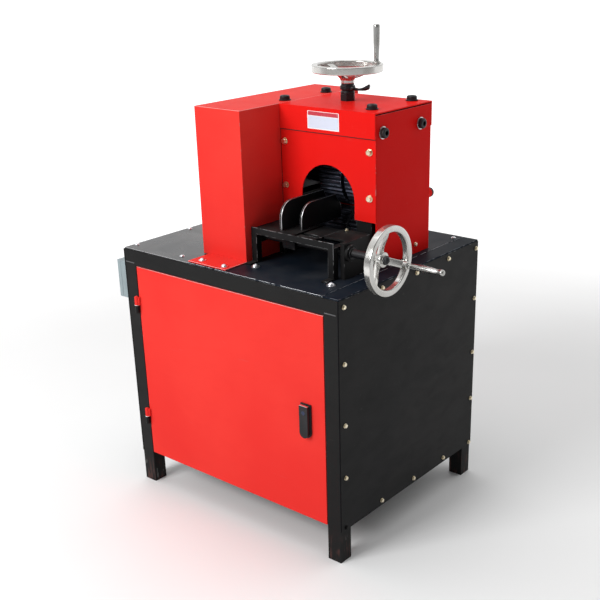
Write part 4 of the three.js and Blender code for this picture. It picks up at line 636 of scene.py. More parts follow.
LATCH_GRIP = Moulded(
    "latch_grip_moulding", "black_plastic", (0.009, 0.009, 0.010), (0.020, 0.020, 0.022), gloss=0.22,
    barrel=(0.22855, 0.3885),
)
GREY_BOX = Moulded("grey_moulding", "grey_box", (0.27, 0.33, 0.35), (0.23, 0.285, 0.30), roughness=0.42)
GREEN_PLASTIC = Moulded(
    "green_moulding", "green_plastic", (0.010, 0.20, 0.045), (0.012, 0.15, 0.04), roughness=0.28,
)
RED_PLASTIC = Moulded(
    "red_moulding", "red_plastic", (0.55, 0.010, 0.012), (0.42, 0.010, 0.012), roughness=0.28,
)
RUBBER = Moulded(
    "belt_rubber", "rubber", (0.014, 0.014, 0.015), (0.030, 0.029, 0.028), roughness=0.8, grain=0.0002,
)
LABEL = FilmLabel(
    "blank_label_film", "grey_box", (0.66, 0.71, 0.84), (0.55, 0.020, 0.045), low=(0.06635, 1.009),
    high=(0.16235, 1.051), split=1.0405,
)


# Shapes


class Facing(Enum):
    """The way that a bolted or turned shape points."""

    RIGHT = (1.0, 0.0, 0.0)
    LEFT = (-1.0, 0.0, 0.0)
    BACK = (0.0, 1.0, 0.0)
    FRONT = (0.0, -1.0, 0.0)
    UP = (0.0, 0.0, 1.0)

    def turn(self) -> Matrix:
        """The rotation that lays an upright shape this way."""
        return Vector((0.0, 0.0, 1.0)).rotation_difference(Vector(self.value)).to_matrix().to_4x4()


def eased(points: Profile, radius: float, steps: int = 3) -> list[Vector]:
    """Rounds the corners of an open outline.

    Args:
        points: The outline, as pairs.
        radius: How far from a corner the curve starts, at most.
        steps: Pieces of each curve.

    Returns:
        The outline with its corners rounded.
    """
    line = [Vector(point) for point in points]
    out = [line[0]]
    for before, corner, after in zip(line, line[1:], line[2:]):
        reach = min(radius, (before - corner).length * 0.48, (after - corner).length * 0.48)
        start = corner + (before - corner).normalized() * reach
        end = corner + (after - corner).normalized() * reach
        for step in range(steps + 1):
            share = step / steps
            out.append(start * (1 - share) ** 2 + corner * 2 * share * (1 - share) + end * share**2)
    return [*out, line[-1]]


def ring_profile(inner: float, outer: float, low: float, high: float) -> list[Pair]:
    """The four corners of a washer's section."""
    return [(inner, low), (outer, low), (outer, high), (inner, high)]


def dome_profile(
    radius: float, height: float, base: float, degrees: Iterable[int] = range(0, 91, 15)
) -> list[Pair]:
    """Draws a dome's side.

    Args:
        radius: Its radius.
        height: Its rise over the base.
        base: Where it starts.
        degrees: How far up the curve each point lies.

    Returns:
        Pairs of radius and height.
    """
    angles = [math.radians(step) for step in degrees]
    return [(radius * math.cos(angle), base + height * math.sin(angle)) for angle in angles]


def picked(parts: Iterable[object], kind: type) -> list:
    """The parts of one kind."""
    return [part for part in parts if isinstance(part, kind)]


def edges_of(verts: Iterable[bmesh.types.BMVert]) -> list[bmesh.types.BMEdge]:
    """The edges at some points, each once."""
    return list(dict.fromkeys(edge for vert in verts for edge in vert.link_edges))


def shown(name: str, data: bpy.types.ID) -> bpy.types.Object:
    """Puts a new object into the scene.

    Args:
        name: The object's name.
        data: Its mesh, lamp or camera.

    Returns:
        The object.
    """
    made = bpy.data.objects.new(name, data)
    bpy.context.scene.collection.objects.link(made)
    return made


class Workpiece:
    """A shape on the bench, in machine millimetres, until it is done."""

    def __init__(self, source: Optional[bpy.types.Mesh] = None) -> None:
        """Starts a shape.

        Args:
            source: A mesh in metres whose loose triangles it joins, or none for an empty start.
        """
        self.mesh = bmesh.new()
        self.copied = source is not None
        if source is not None:
            self.mesh.from_mesh(source)
            self.mesh.transform(TO_MACHINE)
            bmesh.ops.remove_doubles(self.mesh, verts=self.mesh.verts, dist=MERGED_WITHIN)
            whole = {"verts": self.mesh.verts, "edges": self.mesh.edges}
            bmesh.ops.dissolve_limit(self.mesh, angle_limit=FLAT_WITHIN, **whole)
        self.mesh.faces.layers.float.new("edge")

    @property
    def mark(self) -> bmesh.types.BMLayerItem:
        """The layer that tells rounded edges from the rest."""
        return self.mesh.faces.layers.float["edge"]

    @classmethod
    def of(cls, node: str) -> "Workpiece":
        """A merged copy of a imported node."""
        return cls(frame["nodes"][node].data)

    def block(self, low: Point, high: Point) -> "Workpiece":
        """Adds a box.

        Args:
            low: Its lowest corner.
            high: Its highest corner.

        Returns:
            The workpiece.
        """
        low, high = Vector(low), Vector(high)
        size = Matrix.Diagonal((*(high - low), 1.0))
        bmesh.ops.create_cube(self.mesh, size=1.0, matrix=Matrix.Translation((low + high) / 2) @ size)
        return self

    def rod(self, radius: float, length: float, sides: int) -> "Workpiece":
        """Adds an upright cylinder or prism on the origin.

        Args:
            radius: Its radius.
            length: Its height.
            sides: Facets round it.

        Returns:
            The workpiece.
        """
        bmesh.ops.create_cone(
            self.mesh, cap_ends=True, cap_tris=False, segments=sides, radius1=radius, radius2=radius,
            depth=length, matrix=Matrix.Translation((0, 0, length / 2)),
        )
        return self

    def spin(self, profile: Profile, steps: int = 64, closed: bool = False) -> "Workpiece":
        """Adds a shape turned about Z.

        Args:
            profile: Pairs of radius and height.
            steps: Facets round it.
            closed: Whether the profile is a ring.

        Returns:
            The workpiece.
        """
        verts = [self.mesh.verts.new((radius, 0.0, height)) for radius, height in profile]
        pairs = list(zip(verts, verts[1:])) + ([(verts[-1], verts[0])] if closed else [])
        edges = [self.mesh.edges.new(pair) for pair in pairs]
        bmesh.ops.spin(
            self.mesh, geom=verts + edges, cent=(0, 0, 0), axis=(0, 0, 1), dvec=(0, 0, 0),
            angle=2 * math.pi, steps=steps, use_merge=True, use_duplicate=False,
        )
        bmesh.ops.remove_doubles(self.mesh, verts=self.mesh.verts, dist=SEAM_WITHIN)
        return self

    def plate(self, outline: Profile, thickness: float) -> "Workpiece":
        """Adds a flat plate.

        Args:
            outline: Its outline on the ground.
            thickness: Its height.

        Returns:
            The workpiece.
        """
        face = self.mesh.faces.new([self.mesh.verts.new((x, y, 0.0)) for x, y in outline])
        made = bmesh.ops.extrude_face_region(self.mesh, geom=[face])["geom"]
        lifted = picked(made, bmesh.types.BMVert)
        bmesh.ops.translate(self.mesh, verts=lifted, vec=(0.0, 0.0, thickness))
        return self

    def loft(self, stations: Sequence[Matrix], sides: int, power: float = 1.0) -> "Workpiece":
        """Adds a skin over a unit circle that is carried from station to station.

        Args:
            stations: Where the circle stands and how it is stretched, from end to end.
            sides: Facets round it.
            power: 1 for a round section, less for one with flatter sides.

        Returns:
            The workpiece.
        """
        verts = bmesh.ops.create_circle(self.mesh, cap_ends=True, radius=1.0, segments=sides)["verts"]
        for vert in verts:
            vert.co.x = math.copysign(abs(vert.co.x) ** power, vert.co.x)
            vert.co.y = math.copysign(abs(vert.co.y) ** power, vert.co.y)
        bmesh.ops.transform(self.mesh, matrix=stations[0], verts=verts)
        ring = edges_of(verts)
        for before, after in zip(stations, stations[1:]):
            made = bmesh.ops.extrude_edge_only(self.mesh, edges=ring)["geom"]
            moved, edges = picked(made, bmesh.types.BMVert), picked(made, bmesh.types.BMEdge)
            ring = [edge for edge in edges if all(vert in moved for vert in edge.verts)]
            bmesh.ops.transform(self.mesh, matrix=after @ before.inverted(), verts=moved)
        bmesh.ops.holes_fill(self.mesh, edges=ring, sides=0)
        return self

    def rounded(self, width: float, segments: int = 2, shortest: float = 0.0) -> "Workpiece":
        """Rounds the outer edges and marks the new faces.

        Args:
            width: How far from the edge the rounding starts.
            segments: Faces across it.
            shortest: Edges shorter than this stay sharp.

        Returns:
            The workpiece.
        """
        mark = self.mark
        edges = [
            edge for edge in self.mesh.edges
            if len(edge.link_faces) == 2 and edge.is_convex and edge.calc_face_angle(0.0) > ROUNDED_FROM
            and edge.calc_length() >= shortest and not any(face[mark] for face in edge.link_faces)
        ]
        if edges:
            made = bmesh.ops.bevel(
                self.mesh, geom=edges, offset=width, offset_type="OFFSET", affect="EDGES", segments=segments,
                profile=0.5, material=-1, clamp_overlap=True, loop_slide=True,
            )
            for face in made["faces"]:
                face[mark] = 1.0
        return self

    def placed(self, foot: Point, facing: Facing = Facing.UP, turn: float = 0.0) -> "Workpiece":
        """Moves the shape to its place.

        Args:
            foot: Where its origin comes to stand.
            facing: The way that its top points.
            turn: How far it turns about its axis first, in degrees.

        Returns:
            The workpiece.
        """
        spun = Matrix.Rotation(math.radians(turn), 4, "Z")
        self.mesh.transform(Matrix.Translation(foot) @ facing.turn() @ spun)
        return self

    def join(self, *others: "Workpiece") -> "Workpiece":
        """Takes other workpieces into this one.

        Args:
            others: The workpieces, which are used up.

        Returns:
            The workpiece.
        """
        for other in others:
            scratch = bpy.data.meshes.new("scratch")
            other.mesh.to_mesh(scratch)
            other.mesh.free()
            self.mesh.from_mesh(scratch)
            bpy.data.meshes.remove(scratch)
        return self

    def _crease(self) -> None:
        """Keeps folds sharp: steep edges, and gentler ones of big flat faces that no rounding touches."""
        mark = self.mark
        for edge in self.mesh.edges:
            angle = edge.calc_face_angle(0.0) if len(edge.link_faces) == 2 else 0.0
            plain = not any(face[mark] for face in edge.link_faces)
            broad = any(face.calc_area() > BROAD_AREA for face in edge.link_faces)
            edge.smooth = not (angle > STEEP or (angle > GENTLE and plain and broad))

    def done(self, name: str, finish: Finish, body: str = "machine", *nodes: str) -> None:
        """Makes the object, coats it and sets it on its body.

        Args:
            name: The piece's name.
            finish: Its coat.
            body: The body that it moves with.
            nodes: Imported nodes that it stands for.
        """
        if not self.copied:
            bmesh.ops.recalc_face_normals(self.mesh, faces=self.mesh.faces)
        for face in self.mesh.faces:
            face.smooth = True
        self._crease()
        self.mesh.transform(TO_METRES)
        mesh = bpy.data.meshes.new(name)
        self.mesh.to_mesh(mesh)
        self.mesh.free()
        mesh.materials.append(finish.material())
        piece = shown(name, mesh)
        piece.modifiers.new("flat_faces_lead", "WEIGHTED_NORMAL").keep_sharp = True
        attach(piece, body)
        if nodes:
            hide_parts(*nodes)
        log.info("%-24s on %-14s %6d faces", name, body, len(mesh.polygons))


def dress(finish: Finish, *nodes: str, edge: float, segments: int = 2, shortest: float = 3.0) -> None:
    """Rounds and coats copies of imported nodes.

    Args:
        finish: Their coat.
        nodes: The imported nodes.
        edge: Width of their rounded edges.
        segments: Faces across an edge.
        shortest: Edges shorter than this stay sharp.
    """
    for node in nodes:
        Workpiece.of(node).rounded(edge, segments, shortest).done(f"{node}_skin", finish, OWNER[node], node)


# Fasteners


@dataclass(frozen=True)
class HexBolt:
    """Hexagon head on a flanged washer."""

    across: float = 9.0
    height: float = 3.8
    washer: float = 5.9
    washer_thickness: float = 1.1
    turn_step: float = 17.0

    def shape(self) -> Workpiece:
        """Builds one fastener.

        Returns:
            The fastener, upright on the back of its washer.
        """
        disc = Workpiece().spin(eased(ring_profile(0, self.washer, 0, self.washer_thickness), 0.5, 2), 24)
        head = Workpiece().rod(self.across / math.sqrt(3.0), self.height, 6).rounded(0.9)
        return disc.join(head.placed((0, 0, self.washer_thickness * 0.9)))

    def set(self, name: str, finish: Finish, feet: Iterable[Point], facing: Facing) -> None:
        """Sets a group of these fasteners on the machine, each turned a little further.

        Args:
            name: The group's name.
            finish: Its coat.
            feet: Where they stand.
            facing: The way that they point.
        """
        group = Workpiece()
        for index, foot in enumerate(feet):
            group.join(self.shape().placed(foot, facing, self.turn_step * index))
        group.done(name, finish)


@dataclass(frozen=True)
class DomedScrew(HexBolt):
    """Low domed head with a socket."""

    across: float = 10.0
    height: float = 3.2
    washer: float = 6.6
    socket: float = 2.4

    def shape(self) -> Workpiece:
        """Builds one fastener.

        Returns:
            The fastener, upright on the back of its washer.
        """
        base, radius = self.washer_thickness, self.across / 2
        floor, brim = base + self.height * 0.3, base + self.height * 0.86
        dome = dome_profile(radius, self.height, base, range(12, 66, 9))
        profile = [(0, 0), (self.washer, 0), (self.washer, base), (radius, base), *dome]
        profile += [(dome[-1][0] * 0.86, brim), (self.socket, floor), (0, floor)]
        return Workpiece().spin(profile, 24)


@dataclass(frozen=True)
class SocketScrew:
    """Cap screw with a knurled head, a hexagon socket and a washer."""

    radius: float = 12.5
    head: float = 9.5
    shoulder: tuple[Pair, ...] = ((0.0, 3.6), (0.5, 2.0), (1.5, 0.8), (2.9, 0.1))
    socket: float = 6.5
    socket_rim: float = 1.32
    depth: float = 4.0
    shank: float = 8.0
    shank_tip: float = 7.4
    shank_chamfer: float = 1.2
    washer: float = 15.0
    washer_bore: float = 8.2
    washer_thickness: float = 2.5
    knurls: int = 48
    knurl_depth: float = 0.4

    def disc(self) -> Workpiece:
        """The washer, with its back on the ground."""
        ring = eased(ring_profile(self.washer_bore, self.washer, 0, self.washer_thickness), 0.6)
        return Workpiece().spin(ring, 48, closed=True)

    def shape(self, bite: float) -> Workpiece:
        """Builds one screw.

        Args:
            bite: The shank's length below the washer.

        Returns:
            The screw, upright, with room for its washer over the ground.
        """
        start, end = self.washer_thickness + 0.1, self.washer_thickness + self.head
        rim = self.socket * self.socket_rim
        side = [(0, -bite), (self.shank_tip, -bite), (self.shank, self.shank_chamfer - bite)]
        side += [(self.shank, start), (self.radius, start)]
        side += [(self.radius - inward, end - below) for inward, below in self.shoulder]
        screw = Workpiece().spin([*side, (rim, end)], 2 * self.knurls)
        self._knurl(screw.mesh)
        self._sink(screw.mesh, rim, end)
        return screw

    def _knurl(self, mesh: bmesh.types.BMesh) -> None:
        """Draws every second line of the head's side inwards.

        Args:
            mesh: The screw, still upright.
        """
        for vert in mesh.verts:
            reach = math.hypot(vert.co.x, vert.co.y)
            step = round(math.atan2(vert.co.y, vert.co.x) / math.pi * self.knurls)
            if abs(reach - self.radius) < 0.1 and step % 2:
                vert.co.x *= 1 - self.knurl_depth / reach
                vert.co.y *= 1 - self.knurl_depth / reach

    def _sink(self, mesh: bmesh.types.BMesh, rim: float, end: float) -> None:
        """Sinks the hexagon socket into the head's open top.

        Args:
            mesh: The screw, still upright.
            rim: Radius of the opening.
            end: Height of the head's top.
        """
        top = [
            edge for edge in mesh.edges
            if edge.is_boundary and all(abs(math.hypot(v.co.x, v.co.y) - rim) < 0.01 for v in edge.verts)
        ]
        lifted = Matrix.Translation((0, 0, end))
        mouth = bmesh.ops.create_circle(mesh, cap_ends=False, radius=self.socket, segments=6, matrix=lifted)
        hexagon = edges_of(mouth["verts"])
        bmesh.ops.bridge_loops(mesh, edges=top + hexagon)
        made = bmesh.ops.extrude_edge_only(mesh, edges=hexagon)["geom"]
        low = picked(made, bmesh.types.BMVert)
        bmesh.ops.translate(mesh, verts=low, vec=(0, 0, -self.depth))
        bmesh.ops.contextual_create(mesh, geom=low)


CAP_SCREW = SocketScrew()
BOSS_SCREW = SocketScrew(radius=12.4, head=9.0)
PANEL_BOLT = HexBolt()
COVER_BOLT = HexBolt(across=12.4, height=6.2, washer=8.6, washer_thickness=1.4)
SMALL_SCREW = DomedScrew()
BOX_SCREW = DomedScrew(across=5.6, height=1.6, washer=3.2, washer_thickness=0.4, socket=1.2)
FLANGE_SCREW = DomedScrew(across=13.0, height=5.6, washer=9.4, washer_thickness=1.5, socket=2.8)
FOOT_SCREW = DomedScrew(across=15.0, height=6.5, washer=11.0, washer_thickness=1.8, socket=3.4)


# The scene


@dataclass(frozen=True)
class SoftBox:
    """Square area lamp."""

    name: str
    place: Point
    aim: Point
    side: float
    watts: float

    def hang(self) -> None:
        """Hangs the lamp and turns it to its aim."""
        light = bpy.data.lights.new(self.name, "AREA")
        light.shape, light.size, light.size_y, light.energy = "RECTANGLE", self.side, self.side, self.watts
        holder = shown(self.name, light)
        holder.location = self.place
        holder.rotation_euler = (Vector(self.aim) - Vector(self.place)).to_track_quat("-Z", "Y").to_euler()


@dataclass
class Studio:
    """Pale floor, soft light and the camera, in metres."""

    camera_place: Point = (1.63535, -1.9232, 1.429)
    azimuth: float = 39.26
    elevation: float = 22.33
    roll: float = -1.08
    lens: float = 60.13
    sensor: float = 36.0
    clip: Pair = (0.05, 60.0)
    shift: Pair = (-0.05, 0.0833)
    floor_half: float = 40.0
    glow: float = 0.6
    glow_reach: Pair = (1.1, 3.6)
    glow_way: Pair = (-0.6, 0.8)
    glow_span: Pair = (-1.5, 2.5)
    sky_way: Point = (-0.55, 0.7, 0.45)
    sky_span: Pair = (-0.30, 0.55)
    dim: float = 0.20
    lamps: tuple[SoftBox, ...] = (
        SoftBox("front_box", (-0.9, -3.5, 2.7), (0.0, 0.0, 0.6), 1.7, 120.0),
        SoftBox("top_box", (-0.3, -0.3, 3.6), (0.0, 0.0, 0.8), 1.8, 12.0),
    )

    def camera(self) -> None:
        """Stands the camera where the machine is seen as in the photograph."""
        around, rise, roll = (math.radians(angle) for angle in (self.azimuth, self.elevation, self.roll))
        back = Vector((math.sin(around) * math.cos(rise), -math.cos(around) * math.cos(rise), math.sin(rise)))
        right = Vector((math.cos(around), math.sin(around), 0.0))
        up = back.cross(right)
        across = right * math.cos(roll) + up * math.sin(roll)
        above = up * math.cos(roll) - right * math.sin(roll)
        camera = bpy.data.cameras.new("camera")
        camera.lens, camera.sensor_width = self.lens, self.sensor
        camera.shift_x, camera.shift_y = self.shift
        camera.clip_start, camera.clip_end = self.clip
        holder = shown("camera", camera)
        turn = Matrix((across, above, back)).transposed().to_4x4()
        holder.matrix_world = Matrix.Translation(self.camera_place) @ turn
        bpy.context.scene.camera = holder

    def floor(self) -> None:
        """Lays a pale floor that glows behind the machine."""
        mesh = bmesh.new()
        bmesh.ops.create_grid(mesh, x_segments=1, y_segments=1, size=self.floor_half)
        data = bpy.data.meshes.new("studio_floor")
        mesh.to_mesh(data)
        mesh.free()
        graph = Graph(bpy.data.materials.new("pale_floor"))
        cloud = graph.noise(1.2, 4.0)
        away = graph.node("ShaderNodeVectorMath", {"operation": "LENGTH"}, {0: graph.place()}, output="Value")
        x, y, _ = graph.axes(graph.place())
        behind = (x * self.glow_way[0] + y * self.glow_way[1]).band(*self.glow_span)
        glow = away.band(*self.glow_reach) * behind * self.glow
        data.materials.append(
            graph.surface(
                Base_Color=graph.blend(cloud, (0.90, 0.90, 0.90), (0.84, 0.84, 0.84)),
                Roughness=cloud.between(0.55, 0.75),
                Normal=graph.bump(graph.noise(240.0, 3.0), 0.0002),
                Emission_Color=graph.blend(glow, (0.0, 0.0, 0.0), (1.0, 1.0, 1.0)),
                Emission_Strength=1.0,
            )
        )
        shown("studio_floor", data)

    def sky(self) -> None:
        """Surrounds the scene with white behind the machine that dims towards the camera's side."""
        world = bpy.data.worlds.new("studio_sky")
        graph = Graph(world)
        x, y, z = graph.axes(graph.node("ShaderNodeTexCoord", output="Generated"))
        behind = x * self.sky_way[0] + y * self.sky_way[1] + z * self.sky_way[2]
        white = behind.band(*self.sky_span).between(self.dim, 1.0)
        light = graph.node("ShaderNodeBackground", inputs={"Color": (1.0, 1.0, 1.0, 1.0), "Strength": white})
        graph.node("ShaderNodeOutputWorld", inputs={"Surface": light}, output=None)
        bpy.context.scene.world = world

    def build(self) -> None:
        """Sets up the whole studio."""
        self.camera()
        self.floor()
        self.sky()
        for lamp in self.lamps:
            lamp.hang()
        bpy.context.scene.view_settings.view_transform = "Standard"


# Sub-assemblies


@dataclass
class Cabinet:
    """Tube frame, sheet panels, top plates and their bolts."""

    width: float = 720.0
    depth: float = 595.0
    top_z: float = 688.3
    base_z: float = 689.3
    rows: tuple[float, ...] = (94.5, 233.0, 372.4, 528.6, 667.4)
    columns: Pair = (19.5, 584.0)
    between: tuple[float, ...] = (166.0, 308.0, 450.7)
    between_rows: Pair = (102.3, 672.6)
    box_front: float = 100.0
    box_rise: Pair = (500.0, 660.0)
    rear_columns: tuple[float, ...] = (20.0, 360.0, 700.0)
    rear_rows: tuple[float, ...] = (98.0, 240.0, 382.0, 524.0, 666.0)
    top_screws: tuple[Pair, ...] = ((13, 36), (13, 228), (13, 420), (13, 563), (189, 32), (189, 563))
    base_screws: tuple[Pair, ...] = ((641.0, 182.0), (660.0, 568.0), (430.0, 572.0), (256.0, 572.0))
    trim_low: Point = (673.8, 2.0, 685.1)
    trim_high: Point = (719.3, 593.0, 689.3)
    bead_x: Pair = (3.4, 679.0)
    bead_place: Pair = (0.5, 650.8)
    bead_length: float = 35.0
    bead_step: float = 2.4
    bead_radius: float = 1.5
    bead_swell: Pair = (0.95, 1.16)
    bead_end: float = 0.45
    # Dark rods at the front edges of the side sheets, standing for the shade of the joint as painted shadow.
    shadow_strip_radius: float = 1.9
    shadow_strip_inset: float = 1.5
    shadow_strip_y: float = 0.9
    shadow_strip_z: float = 90.0
    shadow_strip_drop: float = 4.0

    def bead(self, x: float) -> Workpiece:
        """Runs one flattened weld bead to the right.

        Args:
            x: Where it starts.

        Returns:
            The bead.
        """
        steps = max(4, round(self.bead_length / self.bead_step))
        radii = [self.bead_radius * self.bead_swell[step % 2] for step in range(steps + 1)]
        radii[0] *= self.bead_end
        radii[-1] *= self.bead_end
        stations = []
        for step, radius in enumerate(radii):
            place = Matrix.Translation((0, 0, self.bead_length * step / steps))
            stations.append(place @ Matrix.Diagonal((radius, radius, 1.0, 1.0)))
        return Workpiece().loft(stations, 10).placed((x, *self.bead_place), Facing.RIGHT)

    def seams(self) -> None:
        """Runs the weld beads of the front corners and lays dark rods along the joints of the side sheets as
        painted shadow.
        """
        Workpiece().join(*(self.bead(x) for x in self.bead_x)).done("corner_weld_beads", WELD)
        # Painted shadow: very dark rods stand for the shade between the front posts and the side sheets.
        length = self.top_z - self.shadow_strip_z - self.shadow_strip_drop
        shadow_strips = [
            Workpiece().rod(self.shadow_strip_radius, length, 16).rounded(0.6).placed((x, self.shadow_strip_y, self.shadow_strip_z))
            for x in (self.shadow_strip_inset, self.width - self.shadow_strip_inset)
        ]
        Workpiece().join(*shadow_strips).done("side_joint_shadow_strips", OILED)

    def panels(self) -> None:
        """Coats the sheets and the top plates."""
        dress(BLACK, "left_panel", "right_panel", edge=0.7)
        dress(BLACK, "rear_panel", edge=0.4, shortest=6.0)
        dress(DECK, "left_top_plate", edge=0.7)
        dress(BASE, "base_plate", edge=0.8)
        Workpiece().block(self.trim_low, self.trim_high).rounded(0.8).done("right_top_trim", TRIM)

    def bolt_rows(self) -> list[Pair]:
        """Places of the bolts on a side panel, as pairs of y and z, without the low front corner."""
        sides = [(y, z) for y in self.columns for z in self.rows]
        return sides[1:] + [(y, z) for y in self.between for z in self.between_rows]

    def bolts(self) -> None:
        """Sets the panel bolts and those of the top plates."""
        rows, (low, high) = self.bolt_rows(), self.box_rise
        left = [(0.0, y, z) for y, z in rows if y >= self.box_front or not low < z < high]
        PANEL_BOLT.set("right_panel_bolts", ZINC, [(self.width, y, z) for y, z in rows], Facing.RIGHT)
        PANEL_BOLT.set("left_panel_bolts", ZINC, left, Facing.LEFT)
        for name, x, facing in (("right", self.width, Facing.RIGHT), ("left", 0.0, Facing.LEFT)):
            corner = (x, self.columns[0], self.rows[0])
            PANEL_BOLT.set(f"{name}_painted_bolt", FRAME_BLACK, [corner], facing)
        back = [(x, self.depth, z) for x in self.rear_columns for z in self.rear_rows]
        SMALL_SCREW.set("rear_panel_screws", ZINC, back, Facing.BACK)
        top = [(x, y, self.top_z) for x, y in self.top_screws]
        SMALL_SCREW.set("top_plate_screws", WHITE_ZINC, top, Facing.UP)
        base = [(x, y, self.base_z) for x, y in self.base_screws]
        SMALL_SCREW.set("base_plate_screws", WHITE_ZINC, base, Facing.UP)

    def build(self) -> None:
        """Builds the cabinet."""
        dress(FRAME_BLACK, "cabinet_frame", edge=2.0, segments=3, shortest=12.0)
        self.seams()
        self.panels()
        self.bolts()


@dataclass
class Door:
    """Folded door with its hinges and latch."""

    hinge: Pair = (41.0, -6.3)
    hinge_joints: Pair = (210.0, 537.0)
    knuckle: float = 22.0
    washer: Pair = (3.4, 7.0)
    washer_rise: Pair = (-0.5, 0.9)
    cap_radius: float = 5.2
    cap_height: float = 2.6
    cap_base: float = 0.4
    cap_seat: float = -0.3
    # Bright strip on the grip's top edge, a painted highlight.
    highlight_strip_low: Point = (607.0, -13.2, 405.4)
    highlight_strip_high: Point = (631.4, -6.6, 406.9)

    def hinges(self) -> None:
        """Sets the bright washers between the knuckles and the caps on the pins."""
        ring = eased(ring_profile(*self.washer, *self.washer_rise), 0.4)
        dome = dome_profile(self.cap_radius, self.cap_height, self.cap_base)
        washers, caps = Workpiece(), Workpiece()
        for z in self.hinge_joints:
            cap = Workpiece().spin([(0, self.cap_seat), (self.cap_radius, self.cap_seat), *dome], 32)
            washers.join(Workpiece().spin(ring, 32, closed=True).placed((*self.hinge, z)))
            caps.join(cap.placed((*self.hinge, z + self.knuckle)))
        washers.done("hinge_washers", WHITE_ZINC)
        caps.done("hinge_pin_caps", RED_PAINTED_SHEEN, "door")

    def latch(self) -> None:
        """Builds the latch, whose grip ends in a bright strip that stands for the light line on its top edge
        as painted highlight.
        """
        dress(BLACK_PLASTIC, "latch_plate", edge=0.8)
        dress(STEEL, "latch_spindle", edge=0.3)
        dress(LATCH_GRIP, "latch_handle", edge=1.0, shortest=2.0)
        # Painted highlight: a bright zinc strip stands for the light line along the grip's top edge.
        strip = Workpiece().block(self.highlight_strip_low, self.highlight_strip_high).rounded(0.5)
        strip.done("latch_highlight_strip", WHITE_ZINC, OWNER["latch_handle"])

    def build(self) -> None:
        """Builds the door, its hinges and the latch."""
        dress(RED_PAINTED_SHEEN, "door", edge=1.8, segments=3, shortest=8.0)
        self.hinges()
        self.latch()


@dataclass
class ControlBox:
    """Push-button box on the cabinet's left side."""

    face: float = -66.0
    front: float = 25.0
    width: float = 70.0
    bottom: float = 533.0
    height: float = 104.0
    screw_inset: float = 6.5
    plug_x: float = -26.0
    plug: tuple[Pair, ...] = ((0, 0), (6.5, 0), (6.5, 2.2), (4.6, 3.0), (0, 3.0))

    def build(self) -> None:
        """Builds the box and its buttons."""
        dress(GREY_BOX, "control_box", edge=1.2, segments=3)
        dress(GREY_BOX, "control_box_cover", edge=1.6, segments=3)
        dress(GREEN_PLASTIC, "start_button", edge=0.8)
        dress(RED_PLASTIC, "stop_button", edge=1.4, segments=3)
        top, inset = self.bottom + self.height, self.screw_inset
        sides = (self.front + inset, self.front + self.width - inset)
        corners = [(self.face, y, z) for y in sides for z in (self.bottom + inset, top - inset)]
        BOX_SCREW.set("control_box_screws", ZINC, corners, Facing.LEFT)
        plug = Workpiece().spin(eased(self.plug, 0.8), 32)
        plug.placed((self.plug_x, self.front + self.width / 2, top)).done("control_box_plug", BLACK_PLASTIC)


